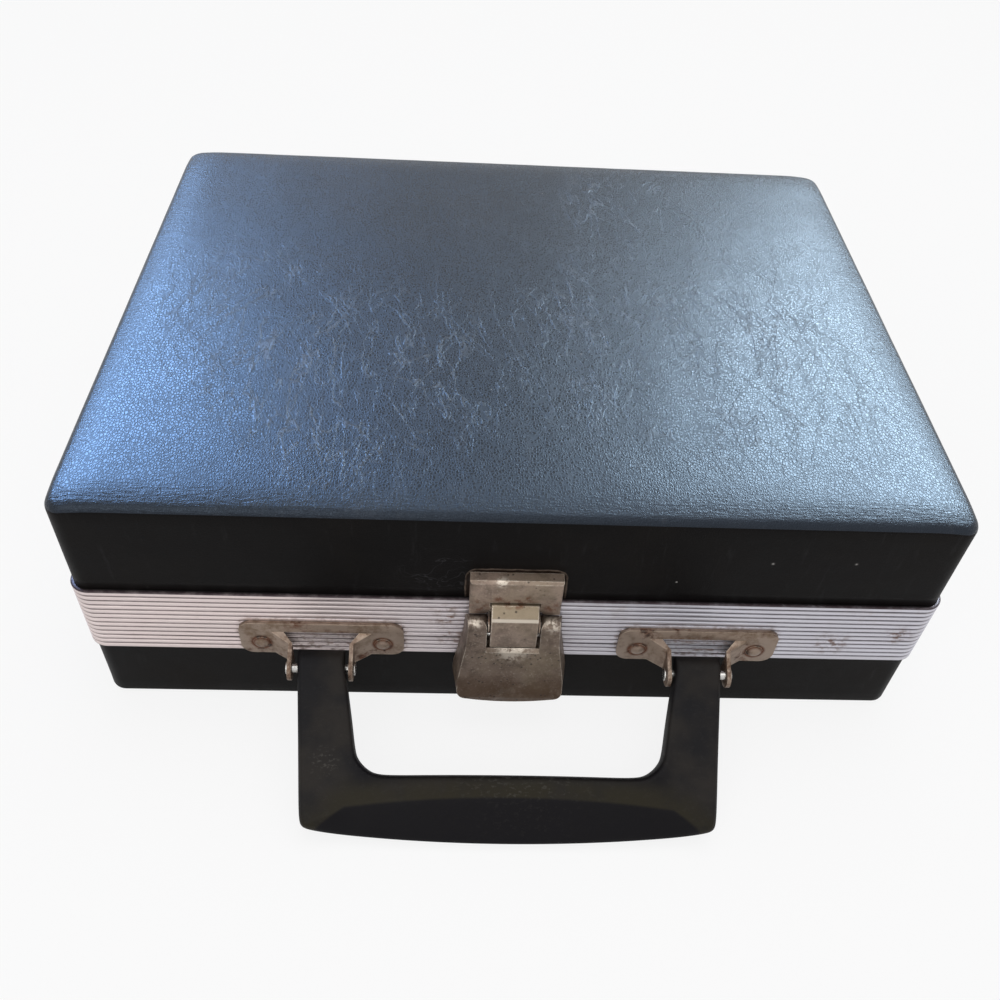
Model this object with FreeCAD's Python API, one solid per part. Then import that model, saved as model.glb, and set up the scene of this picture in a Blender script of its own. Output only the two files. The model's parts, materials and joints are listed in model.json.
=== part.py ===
import FreeCAD, Part
import math
import os

V = FreeCAD.Vector

# Pockets for the boxed tapes, which set the inside of the case
pocket_long = 109.5
pocket_wide = 17.8
pockets_in_row = 15
rows = 2
divider_thick = 1.4
divider_high = 44.0
divider_corner = 5.0
tray_wall = 1.6
tray_floor = 1.2
tray_gap = 0.3
tray_below_rim = 1.0

# Plywood box and its leathercloth
ply_wall = 5.0
ply_bottom = 4.5
ply_ceiling = 5.0
ply_corner = 5.2
ply_in_corner = 1.2
cloth = 0.8
base_roll = 1.6
rim_high = 61.5
seam_gap = 0.35
lid_high = 41.15
lid_roll = 2.2
lid_fall = 1.5
lid_fall_run = 16.0
lid_turn = 17.0
corner_slack = 0.1
padding = 3.2
lining = 0.6
foam_thick = 6.0
foam_margin = 5.0

# Ribbed metal band round the upper half of the base
band_high = 31.0
band_web = 0.5
rib_proud = 0.7
rib_count = 13
groove_wide = 0.62
rib_slope = 0.24
band_joint = 0.3

# Handle brackets, each with two ears bent forward
bracket_x = 67.5
bracket_long = 58.0
bracket_high = 17.0
bracket_thick = 1.5
bracket_low = 30.8
bracket_corner = 4.5
bracket_bar = 4.6
window_top_wide = 31.0
window_low_wide = 24.5
ear_inside = 20.0
ear_fold = 4.5
neck_wide = 4.8
ear_radius = 4.4
ear_neck_drop = 3.4
rivet_pitch = 43.0
rivet_up = 6.2
rivet_head_radius = 3.1
rivet_head_high = 1.3
rivet_radius = 1.6

# Handle, moulded in one piece, and its pins
handle_pivot_out = 9.5
handle_pivot_z = 33.0
handle_tilt_deg = 30.3
pin_radius = 1.6
pin_play = 0.05
pin_head_radius = 2.3
pin_head_thick = 0.8
strap_wide = 17.4
strap_half_thick = 4.6
strap_past_pin = 6.5
grip_reach = 58.9
grip_corner_reach = 54.8
grip_taper = 4.3
grip_corner = 4.5
opening_reach = 36.6
opening_bow = 0.8
opening_narrowing = 6.5
opening_corner = 12.0
grip_start = 27.0
grip_full = 39.6
grip_ridge = 43.6
grip_top = 6.5
grip_under = 6.0
grip_outer_top = 0.8
grip_outer_under = 2.9
grip_crown_drop = 1.4
grip_ridge_bow = 4.7
grip_end_reach = 60.5
grip_end_ridge = 58.8
grip_end_top = 4.2
grip_edge = 1.3
strap_round = 1.5
station_shares = (-1.02, -0.72, -0.55, -0.3, 0, 0.3, 0.55, 0.72, 1.02)
inner_reach_shares = (0.82, 0.87, 0.99, 0.965, 0.953, 0.965, 0.99, 0.87, 0.82)
inner_top_shares = (0.6, 0.66, 0.86, 0.88, 0.88, 0.88, 0.86, 0.66, 0.6)

# Latch: plate with two lugs, lever, claw and keeper
latch_pivot_out = 4.0
latch_pivot_z = 53.9
knuckle_radius = 3.2
latch_pin_radius = 1.25
claw_pin_out = 4.6
claw_pin_z = 49.0
claw_pin_radius = 1.0
claw_half_wide = 8.15
cheek_gap = 0.32
lug_thick = 0.56
latch_plate_thick = 1.0
latch_plate_low = 34.0
latch_plate_corner = 3.0
latch_rivet_x = 5.5
latch_rivet_z = 39.5
latch_rivet_head_radius = 2.2
latch_rivet_head_high = 0.9
latch_rivet_radius = 1.2
lever_top_half = 16.7
lever_shoulder_half = 17.6
lever_low_half = 20.7
lever_foot_half = 21.0
lever_side_draft = 2.4
lever_shoulder_z = 47.0
lever_low_z = 28.0
lever_foot_z = 23.0
lever_corner_in = 3.6
lever_corner_z = 19.4
lever_bottom_z = 17.9
lever_back = 0.9
lever_front_top = 7.2
lever_front_notch = 8.7
lever_front_mid = 9.3
lever_mid_z = 38.0
lever_front_low = 10.5
lever_front_foot = 12.3
lever_foot_front_z = 20.4
lever_foot_back = 3.2
lever_foot_back_z = 24.0
lever_wall = 1.8
lever_hollow_top = 43.6
lever_floor = 2.4
lever_plate_gap = 0.6
lever_ear_round = 2.5
lever_ledge_out = 7.5
lever_ledge_z = 44.9
lever_ledge_low_z = 42.6
claw_front = 8.2
claw_low_z = 45.7
claw_knee_z = 59.7
claw_brow_out = 7.5
claw_brow_z = 61.2
claw_head_out = 4.4
claw_head_z = 64.3
hook_tip_out = 1.3
hook_tip_top = 63.5
hook_low_z = 62.55
claw_neck_out = 3.8
claw_neck_z = 59.6
claw_back = 2.6
claw_heel = 1.1
claw_edge_round = 0.4
claw_swing_gap = 0.4
keeper_half_wide = 15.8
keeper_leg_z = 57.5
keeper_leg_in = 11.5
keeper_low_z = 60.1
keeper_high_z = 75.2
keeper_front = 3.4
keeper_bevel_z = 74.2
keeper_bevel_out = 2.4
keeper_lip_out = 2.5
keeper_lip_z = 61.1
keeper_clear = 0.4
keeper_step_z = 62.15
keeper_side_round = 1.0
keeper_slot_low = 62.25
keeper_slot_high = 64.5
keeper_slot_side = 0.5
keeper_stud_radius = 1.5
keeper_stud_x = 9.5
keeper_stud_z = 69.0

# Rear hinges with stop flanges
hinge_x = 95.0
hinge_long = 36.0
hinge_axis_out = 2.8
hinge_axis_up = 0.2
hinge_knuckle_radius = 2.4
hinge_pin_radius = 1.3
hinge_middle_long = 13.2
hinge_knuckle_gap = 0.4
leaf_thick = 1.2
base_leaf_high = 20.0
lid_leaf_high = 20.0
leaf_corner = 3.0
stop_distance = 5.4
stop_thick = 1.2
stop_reach = 4.0
hinge_rivet_spread = 11.0
base_rivet_down = 14.5
lid_rivet_up = 15.5
hinge_rivet_head_radius = 2.2
hinge_rivet_head_high = 0.9
hinge_rivet_radius = 1.2

# One overrun serves all cuts
overrun = 3.0

# Sizes worked out from the ones above
row_long = pockets_in_row * pocket_wide + (pockets_in_row - 1) * divider_thick
rows_deep = rows * pocket_long + (rows - 1) * tray_wall
tray_x = row_long / 2 + tray_wall
tray_y = rows_deep / 2 + tray_wall
ply_in_x = tray_x + tray_gap
ply_in_y = tray_y + tray_gap
ply_x = ply_in_x + ply_wall
ply_y = ply_in_y + ply_wall
cloth_x = ply_x + cloth
cloth_y = ply_y + cloth
cloth_corner = ply_corner + cloth
tray_corner = ply_in_corner - tray_gap
band_depth = band_web + rib_proud
face_y = cloth_y + band_depth
band_low = rim_high - band_high
floor_z = cloth + ply_bottom
tray_top = rim_high - tray_below_rim
lid_low = rim_high + seam_gap
lid_top = lid_low + lid_high
padding_z = lid_top - cloth - padding
ceiling_z = padding_z - ply_ceiling
lid_fall_radius = (lid_fall_run ** 2 + lid_fall ** 2) / (2 * lid_fall)
lug_inside = claw_half_wide + cheek_gap
lug_outside = lug_inside + lug_thick
notch_half = lug_outside + cheek_gap
lever_ear_out = (lever_top_half + lever_shoulder_half) / 2
hinge_y = face_y + hinge_axis_out
hinge_z = rim_high + hinge_axis_up
bracket_mid_z = bracket_low + rivet_up


def block(x0, x1, y0, y1, z0, z1):
    return Part.makeBox(x1 - x0, y1 - y0, z1 - z0, V(x0, y0, z0))


def face_of(points):
    return Part.Face(Part.makePolygon(points + [points[0]]))


def rounded_plan(half_x, half_y, radius, z):
    flat = Part.makePlane(2 * half_x, 2 * half_y, V(-half_x, -half_y, z))
    solid = flat.extrude(V(0, 0, half_x))
    upright = [e for e in solid.Edges if abs(e.tangentAt(e.FirstParameter).z) > 0.9]
    return solid.makeFillet(radius, upright)


def rounded_block(half_x, half_y, radius, z0, z1):
    tall = rounded_plan(half_x, half_y, radius, z0)
    return tall.common(block(-half_x, half_x, -half_y, half_y, z0, z1))


def loop_edges(shape, z, slack):
    return [e for e in shape.Edges
            if abs(e.BoundBox.ZMin - z) < slack and abs(e.BoundBox.ZMax - z) < slack]


def front(x, out, z):
    return V(x, -face_y - out, z)


def side_prism(points, x0, x1):
    face = face_of([front(x0, out, z) for out, z in points])
    return face.extrude(V(x1 - x0, 0, 0))


def cross_rod(radius, x0, x1, out, z):
    return Part.makeCylinder(radius, x1 - x0, front(x0, out, z), V(1, 0, 0))


def rivet(head_radius, head_high, shank_radius, shank_long):
    ball_radius = (head_radius ** 2 + head_high ** 2) / (2 * head_high)
    ball = Part.makeSphere(ball_radius, V(0, 0, head_high - ball_radius))
    head = ball.common(block(-head_radius, head_radius, -head_radius, head_radius, 0, head_high))
    shank = Part.makeCylinder(shank_radius, shank_long, V(0, 0, -shank_long))
    return head.fuse(shank).removeSplitter()


def on_front(shape, x, y, z):
    moved = shape.copy()
    moved.rotate(V(0, 0, 0), V(1, 0, 0), 90)
    moved.translate(V(x, y, z))
    return moved


def on_rear(shape, x, y, z):
    moved = shape.copy()
    moved.rotate(V(0, 0, 0), V(1, 0, 0), -90)
    moved.translate(V(x, y, z))
    return moved


def bore_y(radius, x, z, y0, y1):
    return Part.makeCylinder(radius, y1 - y0, V(x, y0, z), V(0, 1, 0))


def both_sides(shape):
    return shape.mirror(V(0, 0, 0), V(1, 0, 0))


# Places of the fixings, as centre and radius
bracket_rivet_spots = []
for side in (-1, 1):
    for end in (-1, 1):
        bracket_rivet_spots.append((side * bracket_x + end * rivet_pitch / 2, bracket_mid_z))
latch_rivet_spots = [(-latch_rivet_x, latch_rivet_z), (latch_rivet_x, latch_rivet_z)]
keeper_stud_spots = [(-keeper_stud_x, keeper_stud_z), (keeper_stud_x, keeper_stud_z)]
base_rivet_spots = []
lid_rivet_spots = []
for side in (-1, 1):
    for end in (-1, 1):
        x = side * hinge_x + end * hinge_rivet_spread
        base_rivet_spots.append((x, hinge_z - base_rivet_down))
        lid_rivet_spots.append((x, hinge_z + lid_rivet_up))

front_base_bores = [bore_y(rivet_radius, x, z, -face_y - overrun, -ply_in_y + tray_gap / 2)
                    for x, z in bracket_rivet_spots]
front_base_bores += [bore_y(latch_rivet_radius, x, z, -face_y - overrun, -ply_in_y + tray_gap / 2)
                     for x, z in latch_rivet_spots]
rear_base_bores = [bore_y(hinge_rivet_radius, x, z, ply_in_y - tray_gap / 2, face_y + overrun)
                   for x, z in base_rivet_spots]
base_bores = Part.makeCompound(front_base_bores + rear_base_bores)
lid_bores = Part.makeCompound(
    [bore_y(hinge_rivet_radius, x, z, ply_in_y - lining / 2, face_y + overrun)
     for x, z in lid_rivet_spots]
    + [bore_y(keeper_stud_radius, x, z, -cloth_y - overrun, -ply_in_y + lining / 2)
       for x, z in keeper_stud_spots])


# Plywood base: a box without a top, rounded at its upright corners
base_outer = rounded_block(cloth_x, cloth_y, cloth_corner, 0, rim_high)
base_outer = base_outer.makeFillet(base_roll + cloth, loop_edges(base_outer, 0, cloth / 2))
base_ply = rounded_block(ply_x, ply_y, ply_corner, cloth, rim_high)
base_ply = base_ply.makeFillet(base_roll, loop_edges(base_ply, cloth, cloth / 2))
base_room = rounded_block(ply_in_x, ply_in_y, ply_in_corner, floor_z, rim_high + overrun)
base_shell = base_ply.cut(base_room).cut(base_bores)

# Leathercloth of the base: one piece round the walls, one under the bottom
above_cloth = block(-2 * cloth_x, 2 * cloth_x, -2 * cloth_y, 2 * cloth_y, cloth, 2 * rim_high)
base_side_cover = base_outer.cut(base_ply).common(above_cloth).cut(base_bores)
base_bottom_cover = base_outer.cut(above_cloth)

# Ribbed band: one profile taken round the four sides and corners
rib_pitch = band_high / rib_count
band_points = [(0, band_low)]
for n in range(rib_count):
    low = band_low + n * rib_pitch
    high = low + rib_pitch
    band_points.append((band_web, low + groove_wide / 2 if n else low))
    band_points.append((band_depth, low + groove_wide / 2 + rib_slope if n else low + rib_slope))
    last = n == rib_count - 1
    band_points.append((band_depth, high - rib_slope if last else high - groove_wide / 2 - rib_slope))
    band_points.append((band_web, high if last else high - groove_wide / 2))
band_points.append((0, rim_high))
run_x = cloth_x - cloth_corner
run_y = cloth_y - cloth_corner
long_face = face_of([V(-run_x, -cloth_y - d, z) for d, z in band_points])
long_run = long_face.extrude(V(2 * run_x, 0, 0))
short_face = face_of([V(cloth_x + d, -run_y, z) for d, z in band_points])
short_run = short_face.extrude(V(0, 2 * run_y, 0))
turn_face = face_of([V(run_x, -cloth_y - d, z) for d, z in band_points])
turn = turn_face.revolve(V(run_x, -run_y, 0), V(0, 0, 1), 90)
mirror_y = turn.mirror(V(0, 0, 0), V(0, 1, 0))
pieces = [long_run, long_run.mirror(V(0, 0, 0), V(0, 1, 0)), short_run, both_sides(short_run)]
pieces += [turn, both_sides(turn), mirror_y, both_sides(mirror_y)]
rim_band = pieces[0].fuse(pieces[1:]).removeSplitter()
joint_x = hinge_x
band_slit = block(joint_x - band_joint / 2, joint_x + band_joint / 2, cloth_y - overrun,
                  face_y + overrun, band_low - overrun, rim_high + overrun)
rim_band = rim_band.cut(base_bores).cut(band_slit)

# Tray: floor, outer walls and the wall between the two rows
tray_outer = rounded_block(tray_x, tray_y, tray_corner, floor_z, tray_top)
cassette_tray = tray_outer
for row in range(rows):
    y0 = -rows_deep / 2 + row * (pocket_long + tray_wall)
    room = block(-row_long / 2, row_long / 2, y0, y0 + pocket_long,
                 floor_z + tray_floor, tray_top + overrun)
    cassette_tray = cassette_tray.cut(room)

# Dividers: thin upright plates with their upper corners taken off
divider_list = []
divider_z = floor_z + tray_floor
for row in range(rows):
    y0 = -rows_deep / 2 + row * (pocket_long + tray_wall)
    y1 = y0 + pocket_long
    for n in range(1, pockets_in_row):
        x0 = -row_long / 2 + n * pocket_wide + (n - 1) * divider_thick
        plate = face_of([V(x0, y0, divider_z), V(x0, y1, divider_z),
                         V(x0, y1, divider_z + divider_high - divider_corner),
                         V(x0, y1 - divider_corner, divider_z + divider_high),
                         V(x0, y0 + divider_corner, divider_z + divider_high),
                         V(x0, y0, divider_z + divider_high - divider_corner)])
        divider_list.append(plate.extrude(V(divider_thick, 0, 0)))
tray_dividers = Part.makeCompound(divider_list)


# Lid: plywood, padding on top, leathercloth over both; the top falls gently to its rim
def crown_profile(place, inset):
    steep = math.asin((lid_fall_run + overrun) / lid_fall_radius)
    radius = lid_fall_radius - inset
    top = lid_top - inset
    arc_points = []
    for angle in (0, steep / 2, steep):
        across = lid_turn - lid_fall_run + radius * math.sin(angle)
        arc_points.append(place(across, top - radius * (1 - math.cos(angle))))
    low = lid_low - overrun
    far = lid_turn - lid_fall_run + radius * math.sin(steep)
    return Part.Face(Part.Wire([Part.makeLine(place(0, low), place(0, top)),
                                Part.makeLine(place(0, top), arc_points[0]),
                                Part.Arc(*arc_points).toShape(),
                                Part.makeLine(arc_points[2], place(far, low)),
                                Part.makeLine(place(far, low), place(0, low))]))


def crown(inset):
    run_x = cloth_x - lid_turn
    run_y = cloth_y - lid_turn
    long_face = crown_profile(lambda across, z: V(-run_x, -run_y - across, z), inset)
    short_face = crown_profile(lambda across, z: V(run_x + across, -run_y, z), inset)
    turn_face = crown_profile(lambda across, z: V(run_x, -run_y - across, z), inset)
    long_side = long_face.extrude(V(2 * run_x, 0, 0))
    short_side = short_face.extrude(V(0, 2 * run_y, 0))
    corner = turn_face.revolve(V(run_x, -run_y, 0), V(0, 0, 1), 90)
    corner_rear = corner.mirror(V(0, 0, 0), V(0, 1, 0))
    middle = block(-run_x, run_x, -run_y, run_y, lid_low - overrun, lid_top - inset)
    parts = [long_side, long_side.mirror(V(0, 0, 0), V(0, 1, 0)), short_side, both_sides(short_side)]
    parts += [corner, both_sides(corner), corner_rear, both_sides(corner_rear)]
    return middle.fuse(parts).removeSplitter()


def rim_edges(shape, inset):
    corner = cloth_corner - inset
    found = []
    for e in shape.Edges:
        mid = e.valueAt((e.FirstParameter + e.LastParameter) / 2)
        past_x = max(abs(mid.x) - (cloth_x - cloth_corner), 0)
        past_y = max(abs(mid.y) - (cloth_y - cloth_corner), 0)
        on_side = abs(math.hypot(past_x, past_y) - corner) < corner_slack
        if on_side and e.BoundBox.ZMin > lid_top - 4 * lid_fall:
            found.append(e)
    return found


def lid_form(inset, roll):
    box = rounded_block(cloth_x - inset, cloth_y - inset, cloth_corner - inset, lid_low, lid_top)
    form = box.common(crown(inset)).removeSplitter()
    return form.makeFillet(roll, rim_edges(form, inset))


lid_outer = lid_form(0, lid_roll + cloth)
lid_under = lid_form(cloth, lid_roll)
above_ply = block(-2 * cloth_x, 2 * cloth_x, -2 * cloth_y, 2 * cloth_y, padding_z, 2 * lid_top)
lid_room = rounded_block(ply_in_x, ply_in_y, ply_in_corner, lid_low - overrun, ceiling_z)
lid_shell = lid_under.cut(above_ply).cut(lid_room).cut(lid_bores)
lid_padding = lid_under.common(above_ply)
lid_cover = lid_outer.cut(lid_under).cut(lid_bores)

# Lining and foam pad inside the lid
lining_outer = rounded_block(ply_in_x, ply_in_y, ply_in_corner, lid_low, ceiling_z)
lining_room = rounded_block(ply_in_x - lining, ply_in_y - lining, ply_in_corner - lining,
                            lid_low - overrun, ceiling_z - lining)
lid_lining = lining_outer.cut(lining_room)
foam_x = ply_in_x - lining - foam_margin
foam_y = ply_in_y - lining - foam_margin
lid_foam_pad = block(-foam_x, foam_x, -foam_y, foam_y,
                     ceiling_z - lining - foam_thick, ceiling_z - lining)


# Handle brackets
def handle_bracket(x_mid):
    low = bracket_low
    high = bracket_low + bracket_high
    half = bracket_long / 2
    plate = block(x_mid - half, x_mid + half, -face_y - bracket_thick, -face_y, low, high)
    corners = [e for e in plate.Edges if abs(e.tangentAt(e.FirstParameter).y) > 0.9]
    plate = plate.makeFillet(bracket_corner, corners)
    window = face_of([V(x_mid - window_top_wide / 2, -face_y - overrun, high - bracket_bar),
                      V(x_mid + window_top_wide / 2, -face_y - overrun, high - bracket_bar),
                      V(x_mid + window_low_wide / 2, -face_y - overrun, low - overrun),
                      V(x_mid - window_low_wide / 2, -face_y - overrun, low - overrun)])
    plate = plate.cut(window.extrude(V(0, 2 * overrun, 0)))
    side_shape = side_prism([(0, low + ear_neck_drop / 3), (0, high - bracket_bar),
                             (bracket_thick, high - bracket_bar),
                             (ear_fold, handle_pivot_z + ear_radius + ear_neck_drop),
                             (handle_pivot_out, handle_pivot_z + ear_radius),
                             (handle_pivot_out, handle_pivot_z - ear_radius),
                             (ear_fold, handle_pivot_z - ear_radius + ear_neck_drop / 3)],
                            x_mid - half, x_mid + half)
    tip = cross_rod(ear_radius, x_mid - half, x_mid + half, handle_pivot_out, handle_pivot_z)
    side_shape = side_shape.fuse(tip)
    whole = plate
    for side in (-1, 1):
        inner = x_mid + side * ear_inside / 2
        outer = inner + side * bracket_thick
        root = inner + side * (neck_wide + bracket_thick)
        reach = handle_pivot_out + ear_radius + overrun
        strip = face_of([V(inner, -face_y - reach, low - overrun),
                         V(outer, -face_y - reach, low - overrun),
                         V(outer, -face_y - ear_fold, low - overrun),
                         V(root + side * bracket_thick, -face_y - bracket_thick, low - overrun),
                         V(root + side * bracket_thick, -face_y, low - overrun),
                         V(root - side * bracket_thick, -face_y, low - overrun),
                         V(inner, -face_y - ear_fold, low - overrun)])
        ear = strip.extrude(V(0, 0, bracket_high + 2 * overrun)).common(side_shape)
        whole = whole.fuse(ear)
    whole = whole.removeSplitter()
    whole = whole.cut(cross_rod(pin_radius, x_mid - half, x_mid + half,
                                handle_pivot_out, handle_pivot_z))
    for x, z in bracket_rivet_spots:
        whole = whole.cut(bore_y(rivet_radius, x, z, -face_y - overrun, -face_y))
    return whole


handle_bracket_left = handle_bracket(-bracket_x)
handle_bracket_right = handle_bracket(bracket_x)

bracket_shank = bracket_thick + band_depth + cloth + ply_wall
bracket_rivet = rivet(rivet_head_radius, rivet_head_high, rivet_radius, bracket_shank)
bracket_rivets = Part.makeCompound([on_front(bracket_rivet, x, -face_y - bracket_thick, z)
                                    for x, z in bracket_rivet_spots])


# Handle pins with a flat head outside each ear
def handle_pin(x_mid):
    half = ear_inside / 2 + bracket_thick
    rod = cross_rod(pin_radius, x_mid - half, x_mid + half, handle_pivot_out, handle_pivot_z)
    for x0 in (x_mid - half - pin_head_thick, x_mid + half):
        rod = rod.fuse(cross_rod(pin_head_radius, x0, x0 + pin_head_thick,
                                 handle_pivot_out, handle_pivot_z))
    return rod.removeSplitter()


handle_pin_left = handle_pin(-bracket_x)
handle_pin_right = handle_pin(bracket_x)

# Handle outline seen flat: x across, y along the reach, z through the thickness
strap_out = bracket_x + strap_wide / 2
strap_in = bracket_x - strap_wide / 2
corner_x = strap_out - grip_taper
outer_bow = Part.Arc(V(-corner_x, grip_corner_reach, 0), V(0, grip_reach, 0),
                     V(corner_x, grip_corner_reach, 0)).toShape()
outline = Part.Wire([outer_bow,
                     Part.makeLine(V(corner_x, grip_corner_reach, 0),
                                   V(strap_out, -strap_past_pin, 0)),
                     Part.makeLine(V(strap_out, -strap_past_pin, 0),
                                   V(-strap_out, -strap_past_pin, 0)),
                     Part.makeLine(V(-strap_out, -strap_past_pin, 0),
                                   V(-corner_x, grip_corner_reach, 0))])
handle_deep = grip_top + grip_under
handle_blank = Part.Face(outline).extrude(V(0, 0, 2 * handle_deep))
handle_blank.translate(V(0, 0, -handle_deep))
low_corners = [e for e in handle_blank.Edges
               if abs(e.tangentAt(e.FirstParameter).z) > 0.9
               and e.CenterOfMass.y > grip_start]
handle_blank = handle_blank.makeFillet(grip_corner, low_corners)

# The opening between the straps, with rounded corners and a slightly bowed floor
hole_in = strap_in - opening_narrowing
hole_floor = Part.Arc(V(-hole_in, opening_reach, 0), V(0, opening_reach - opening_bow, 0),
                      V(hole_in, opening_reach, 0)).toShape()
hole = Part.Wire([hole_floor,
                  Part.makeLine(V(hole_in, opening_reach, 0), V(strap_in, 0, 0)),
                  Part.makeLine(V(strap_in, 0, 0), V(strap_in, -2 * strap_past_pin, 0)),
                  Part.makeLine(V(strap_in, -2 * strap_past_pin, 0),
                                V(-strap_in, -2 * strap_past_pin, 0)),
                  Part.makeLine(V(-strap_in, -2 * strap_past_pin, 0), V(-strap_in, 0, 0)),
                  Part.makeLine(V(-strap_in, 0, 0), V(-hole_in, opening_reach, 0))])
hole_solid = Part.Face(hole).extrude(V(0, 0, 4 * handle_deep))
hole_solid.translate(V(0, 0, -2 * handle_deep))
hole_corners = [e for e in hole_solid.Edges
                if abs(e.tangentAt(e.FirstParameter).z) > 0.9
                and e.CenterOfMass.y > grip_start]
hole_solid = hole_solid.makeFillet(opening_corner, hole_corners)

# Straps: a flat plate with softened edges and a round end about the pin
handle_plate = handle_blank.cut(hole_solid).common(
    block(-2 * strap_out, 2 * strap_out, -2 * strap_past_pin, 2 * grip_reach,
          -strap_half_thick, strap_half_thick))
plate_loops = [e for e in handle_plate.Edges if abs(e.BoundBox.ZLength) < strap_round / 2
               and e.BoundBox.YMin > strap_half_thick - strap_past_pin - 2 * strap_half_thick]
handle_plate = handle_plate.makeFillet(strap_round, plate_loops)
end_room = block(-2 * strap_out, 2 * strap_out, strap_half_thick - strap_past_pin, grip_ridge,
                 -2 * strap_half_thick, 2 * strap_half_thick)
strap_end = Part.makeCylinder(strap_half_thick, 4 * strap_out,
                              V(-2 * strap_out, strap_half_thick - strap_past_pin, 0), V(1, 0, 0))
handle_plate = handle_plate.common(end_room.fuse(strap_end))

# Grip: sections across the case, thicker than the straps, with a bowed ridge on top
sections = []
for n in range(len(station_shares)):
    x = station_shares[n] * strap_out
    bow = (x / corner_x) ** 2
    inner = inner_reach_shares[n] * opening_reach
    inner_top = inner_top_shares[n] * grip_top
    inner_under = inner_top_shares[n] * grip_under
    crown_z = grip_top - grip_crown_drop * bow
    ridge = grip_ridge + grip_ridge_bow * bow
    outer = grip_reach + (grip_corner_reach - grip_reach) * bow + grip_edge * bow / 4
    outer_top = grip_outer_top
    if n == 0 or n == len(station_shares) - 1:
        ridge = grip_end_ridge
        outer = grip_end_reach
        outer_top = grip_end_top
    points = [(inner, -inner_under), (inner, inner_top), (grip_full, crown_z), (ridge, crown_z),
              (outer - grip_edge, outer_top), (outer, outer_top - grip_edge),
              (outer, grip_edge - grip_outer_under), (outer - grip_edge, -grip_outer_under),
              (ridge, -grip_under), (grip_full, -grip_under)]
    corners = [V(x, y, z) for y, z in points]
    sections.append(Part.makePolygon(corners + [corners[0]]))
grip_bar = Part.makeLoft(sections, True, True).common(handle_blank).cut(hole_solid)
handle_flat = handle_plate.fuse(grip_bar).removeSplitter()
handle_flat = handle_flat.cut(Part.makeCylinder(pin_radius + pin_play, 4 * strap_out,
                                                V(-2 * strap_out, 0, 0), V(1, 0, 0)))
handle_grip = handle_flat.copy()
handle_grip.rotate(V(0, 0, 0), V(0, 0, 1), 180)
handle_grip.rotate(V(0, 0, 0), V(1, 0, 0), handle_tilt_deg)
handle_grip.translate(front(0, handle_pivot_out, handle_pivot_z))

# Latch plate on the band, with two lugs that carry the lever
plate_high = latch_pivot_z + knuckle_radius
latch_plate = block(-lug_outside, lug_outside, -face_y - latch_plate_thick, -face_y,
                    latch_plate_low, plate_high)
plate_corners = [e for e in latch_plate.Edges
                 if abs(e.tangentAt(e.FirstParameter).y) > 0.9
                 and e.CenterOfMass.z < latch_rivet_z]
latch_plate = latch_plate.makeFillet(latch_plate_corner, plate_corners)
lug = block(lug_inside, lug_outside, -face_y - latch_pivot_out, -face_y,
            latch_pivot_z - knuckle_radius, latch_pivot_z + knuckle_radius)
lug = lug.fuse(cross_rod(knuckle_radius, lug_inside, lug_outside, latch_pivot_out, latch_pivot_z))
latch_base_plate = latch_plate.fuse([lug, both_sides(lug)]).removeSplitter()
latch_base_plate = latch_base_plate.cut(cross_rod(latch_pin_radius, -notch_half, notch_half,
                                                  latch_pivot_out, latch_pivot_z))
for x, z in latch_rivet_spots:
    latch_base_plate = latch_base_plate.cut(
        bore_y(latch_rivet_radius, x, z, -face_y - overrun, -face_y))
latch_shank = latch_plate_thick + band_depth + cloth + ply_wall
latch_rivet = rivet(latch_rivet_head_radius, latch_rivet_head_high, latch_rivet_radius,
                    latch_shank)
latch_plate_rivets = Part.makeCompound(
    [on_front(latch_rivet, x, -face_y - latch_plate_thick, z) for x, z in latch_rivet_spots])

# Two short pivot pins, one through each lug into the lever's ear
pin_end = lever_top_half - lever_side_draft / 2
pivot_stub = cross_rod(latch_pin_radius, lug_inside, pin_end, latch_pivot_out, latch_pivot_z)
latch_pivot_left = both_sides(pivot_stub)
latch_pivot_right = pivot_stub


# Latch lever: drafted sides, a front that flares towards its foot, hollow behind
def lever_wire(out, shrink, widen):
    top = lever_top_half - shrink
    shoulder = lever_shoulder_half - shrink
    low = lever_low_half - shrink
    foot = lever_foot_half - shrink
    foot_in = foot - lever_corner_in
    z_top = latch_pivot_z + 2 * knuckle_radius
    right = [front(top, out, z_top), front(shoulder, out, lever_shoulder_z),
             front(low, out, lever_low_z), front(foot, out, lever_foot_z + widen)]
    left = [V(-p.x, p.y, p.z) for p in reversed(right)]
    corner_mid = lever_corner_in * (1 - math.cos(math.radians(45)))
    mid_z = lever_corner_z + (lever_foot_z - lever_corner_z) * (1 - math.sin(math.radians(45)))
    arc_right = Part.Arc(right[-1], front(foot - corner_mid, out, mid_z + widen),
                         front(foot_in, out, lever_corner_z + widen)).toShape()
    bottom = Part.Arc(front(foot_in, out, lever_corner_z + widen),
                      front(0, out, lever_bottom_z + widen),
                      front(-foot_in, out, lever_corner_z + widen)).toShape()
    arc_left = Part.Arc(front(-foot_in, out, lever_corner_z + widen),
                        front(corner_mid - foot, out, mid_z + widen), left[0]).toShape()
    edges = [Part.makeLine(right[n], right[n + 1]) for n in range(len(right) - 1)]
    edges += [arc_right, bottom, arc_left]
    edges += [Part.makeLine(left[n], left[n + 1]) for n in range(len(left) - 1)]
    edges.append(Part.makeLine(left[-1], right[0]))
    return Part.Wire(edges)


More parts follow.
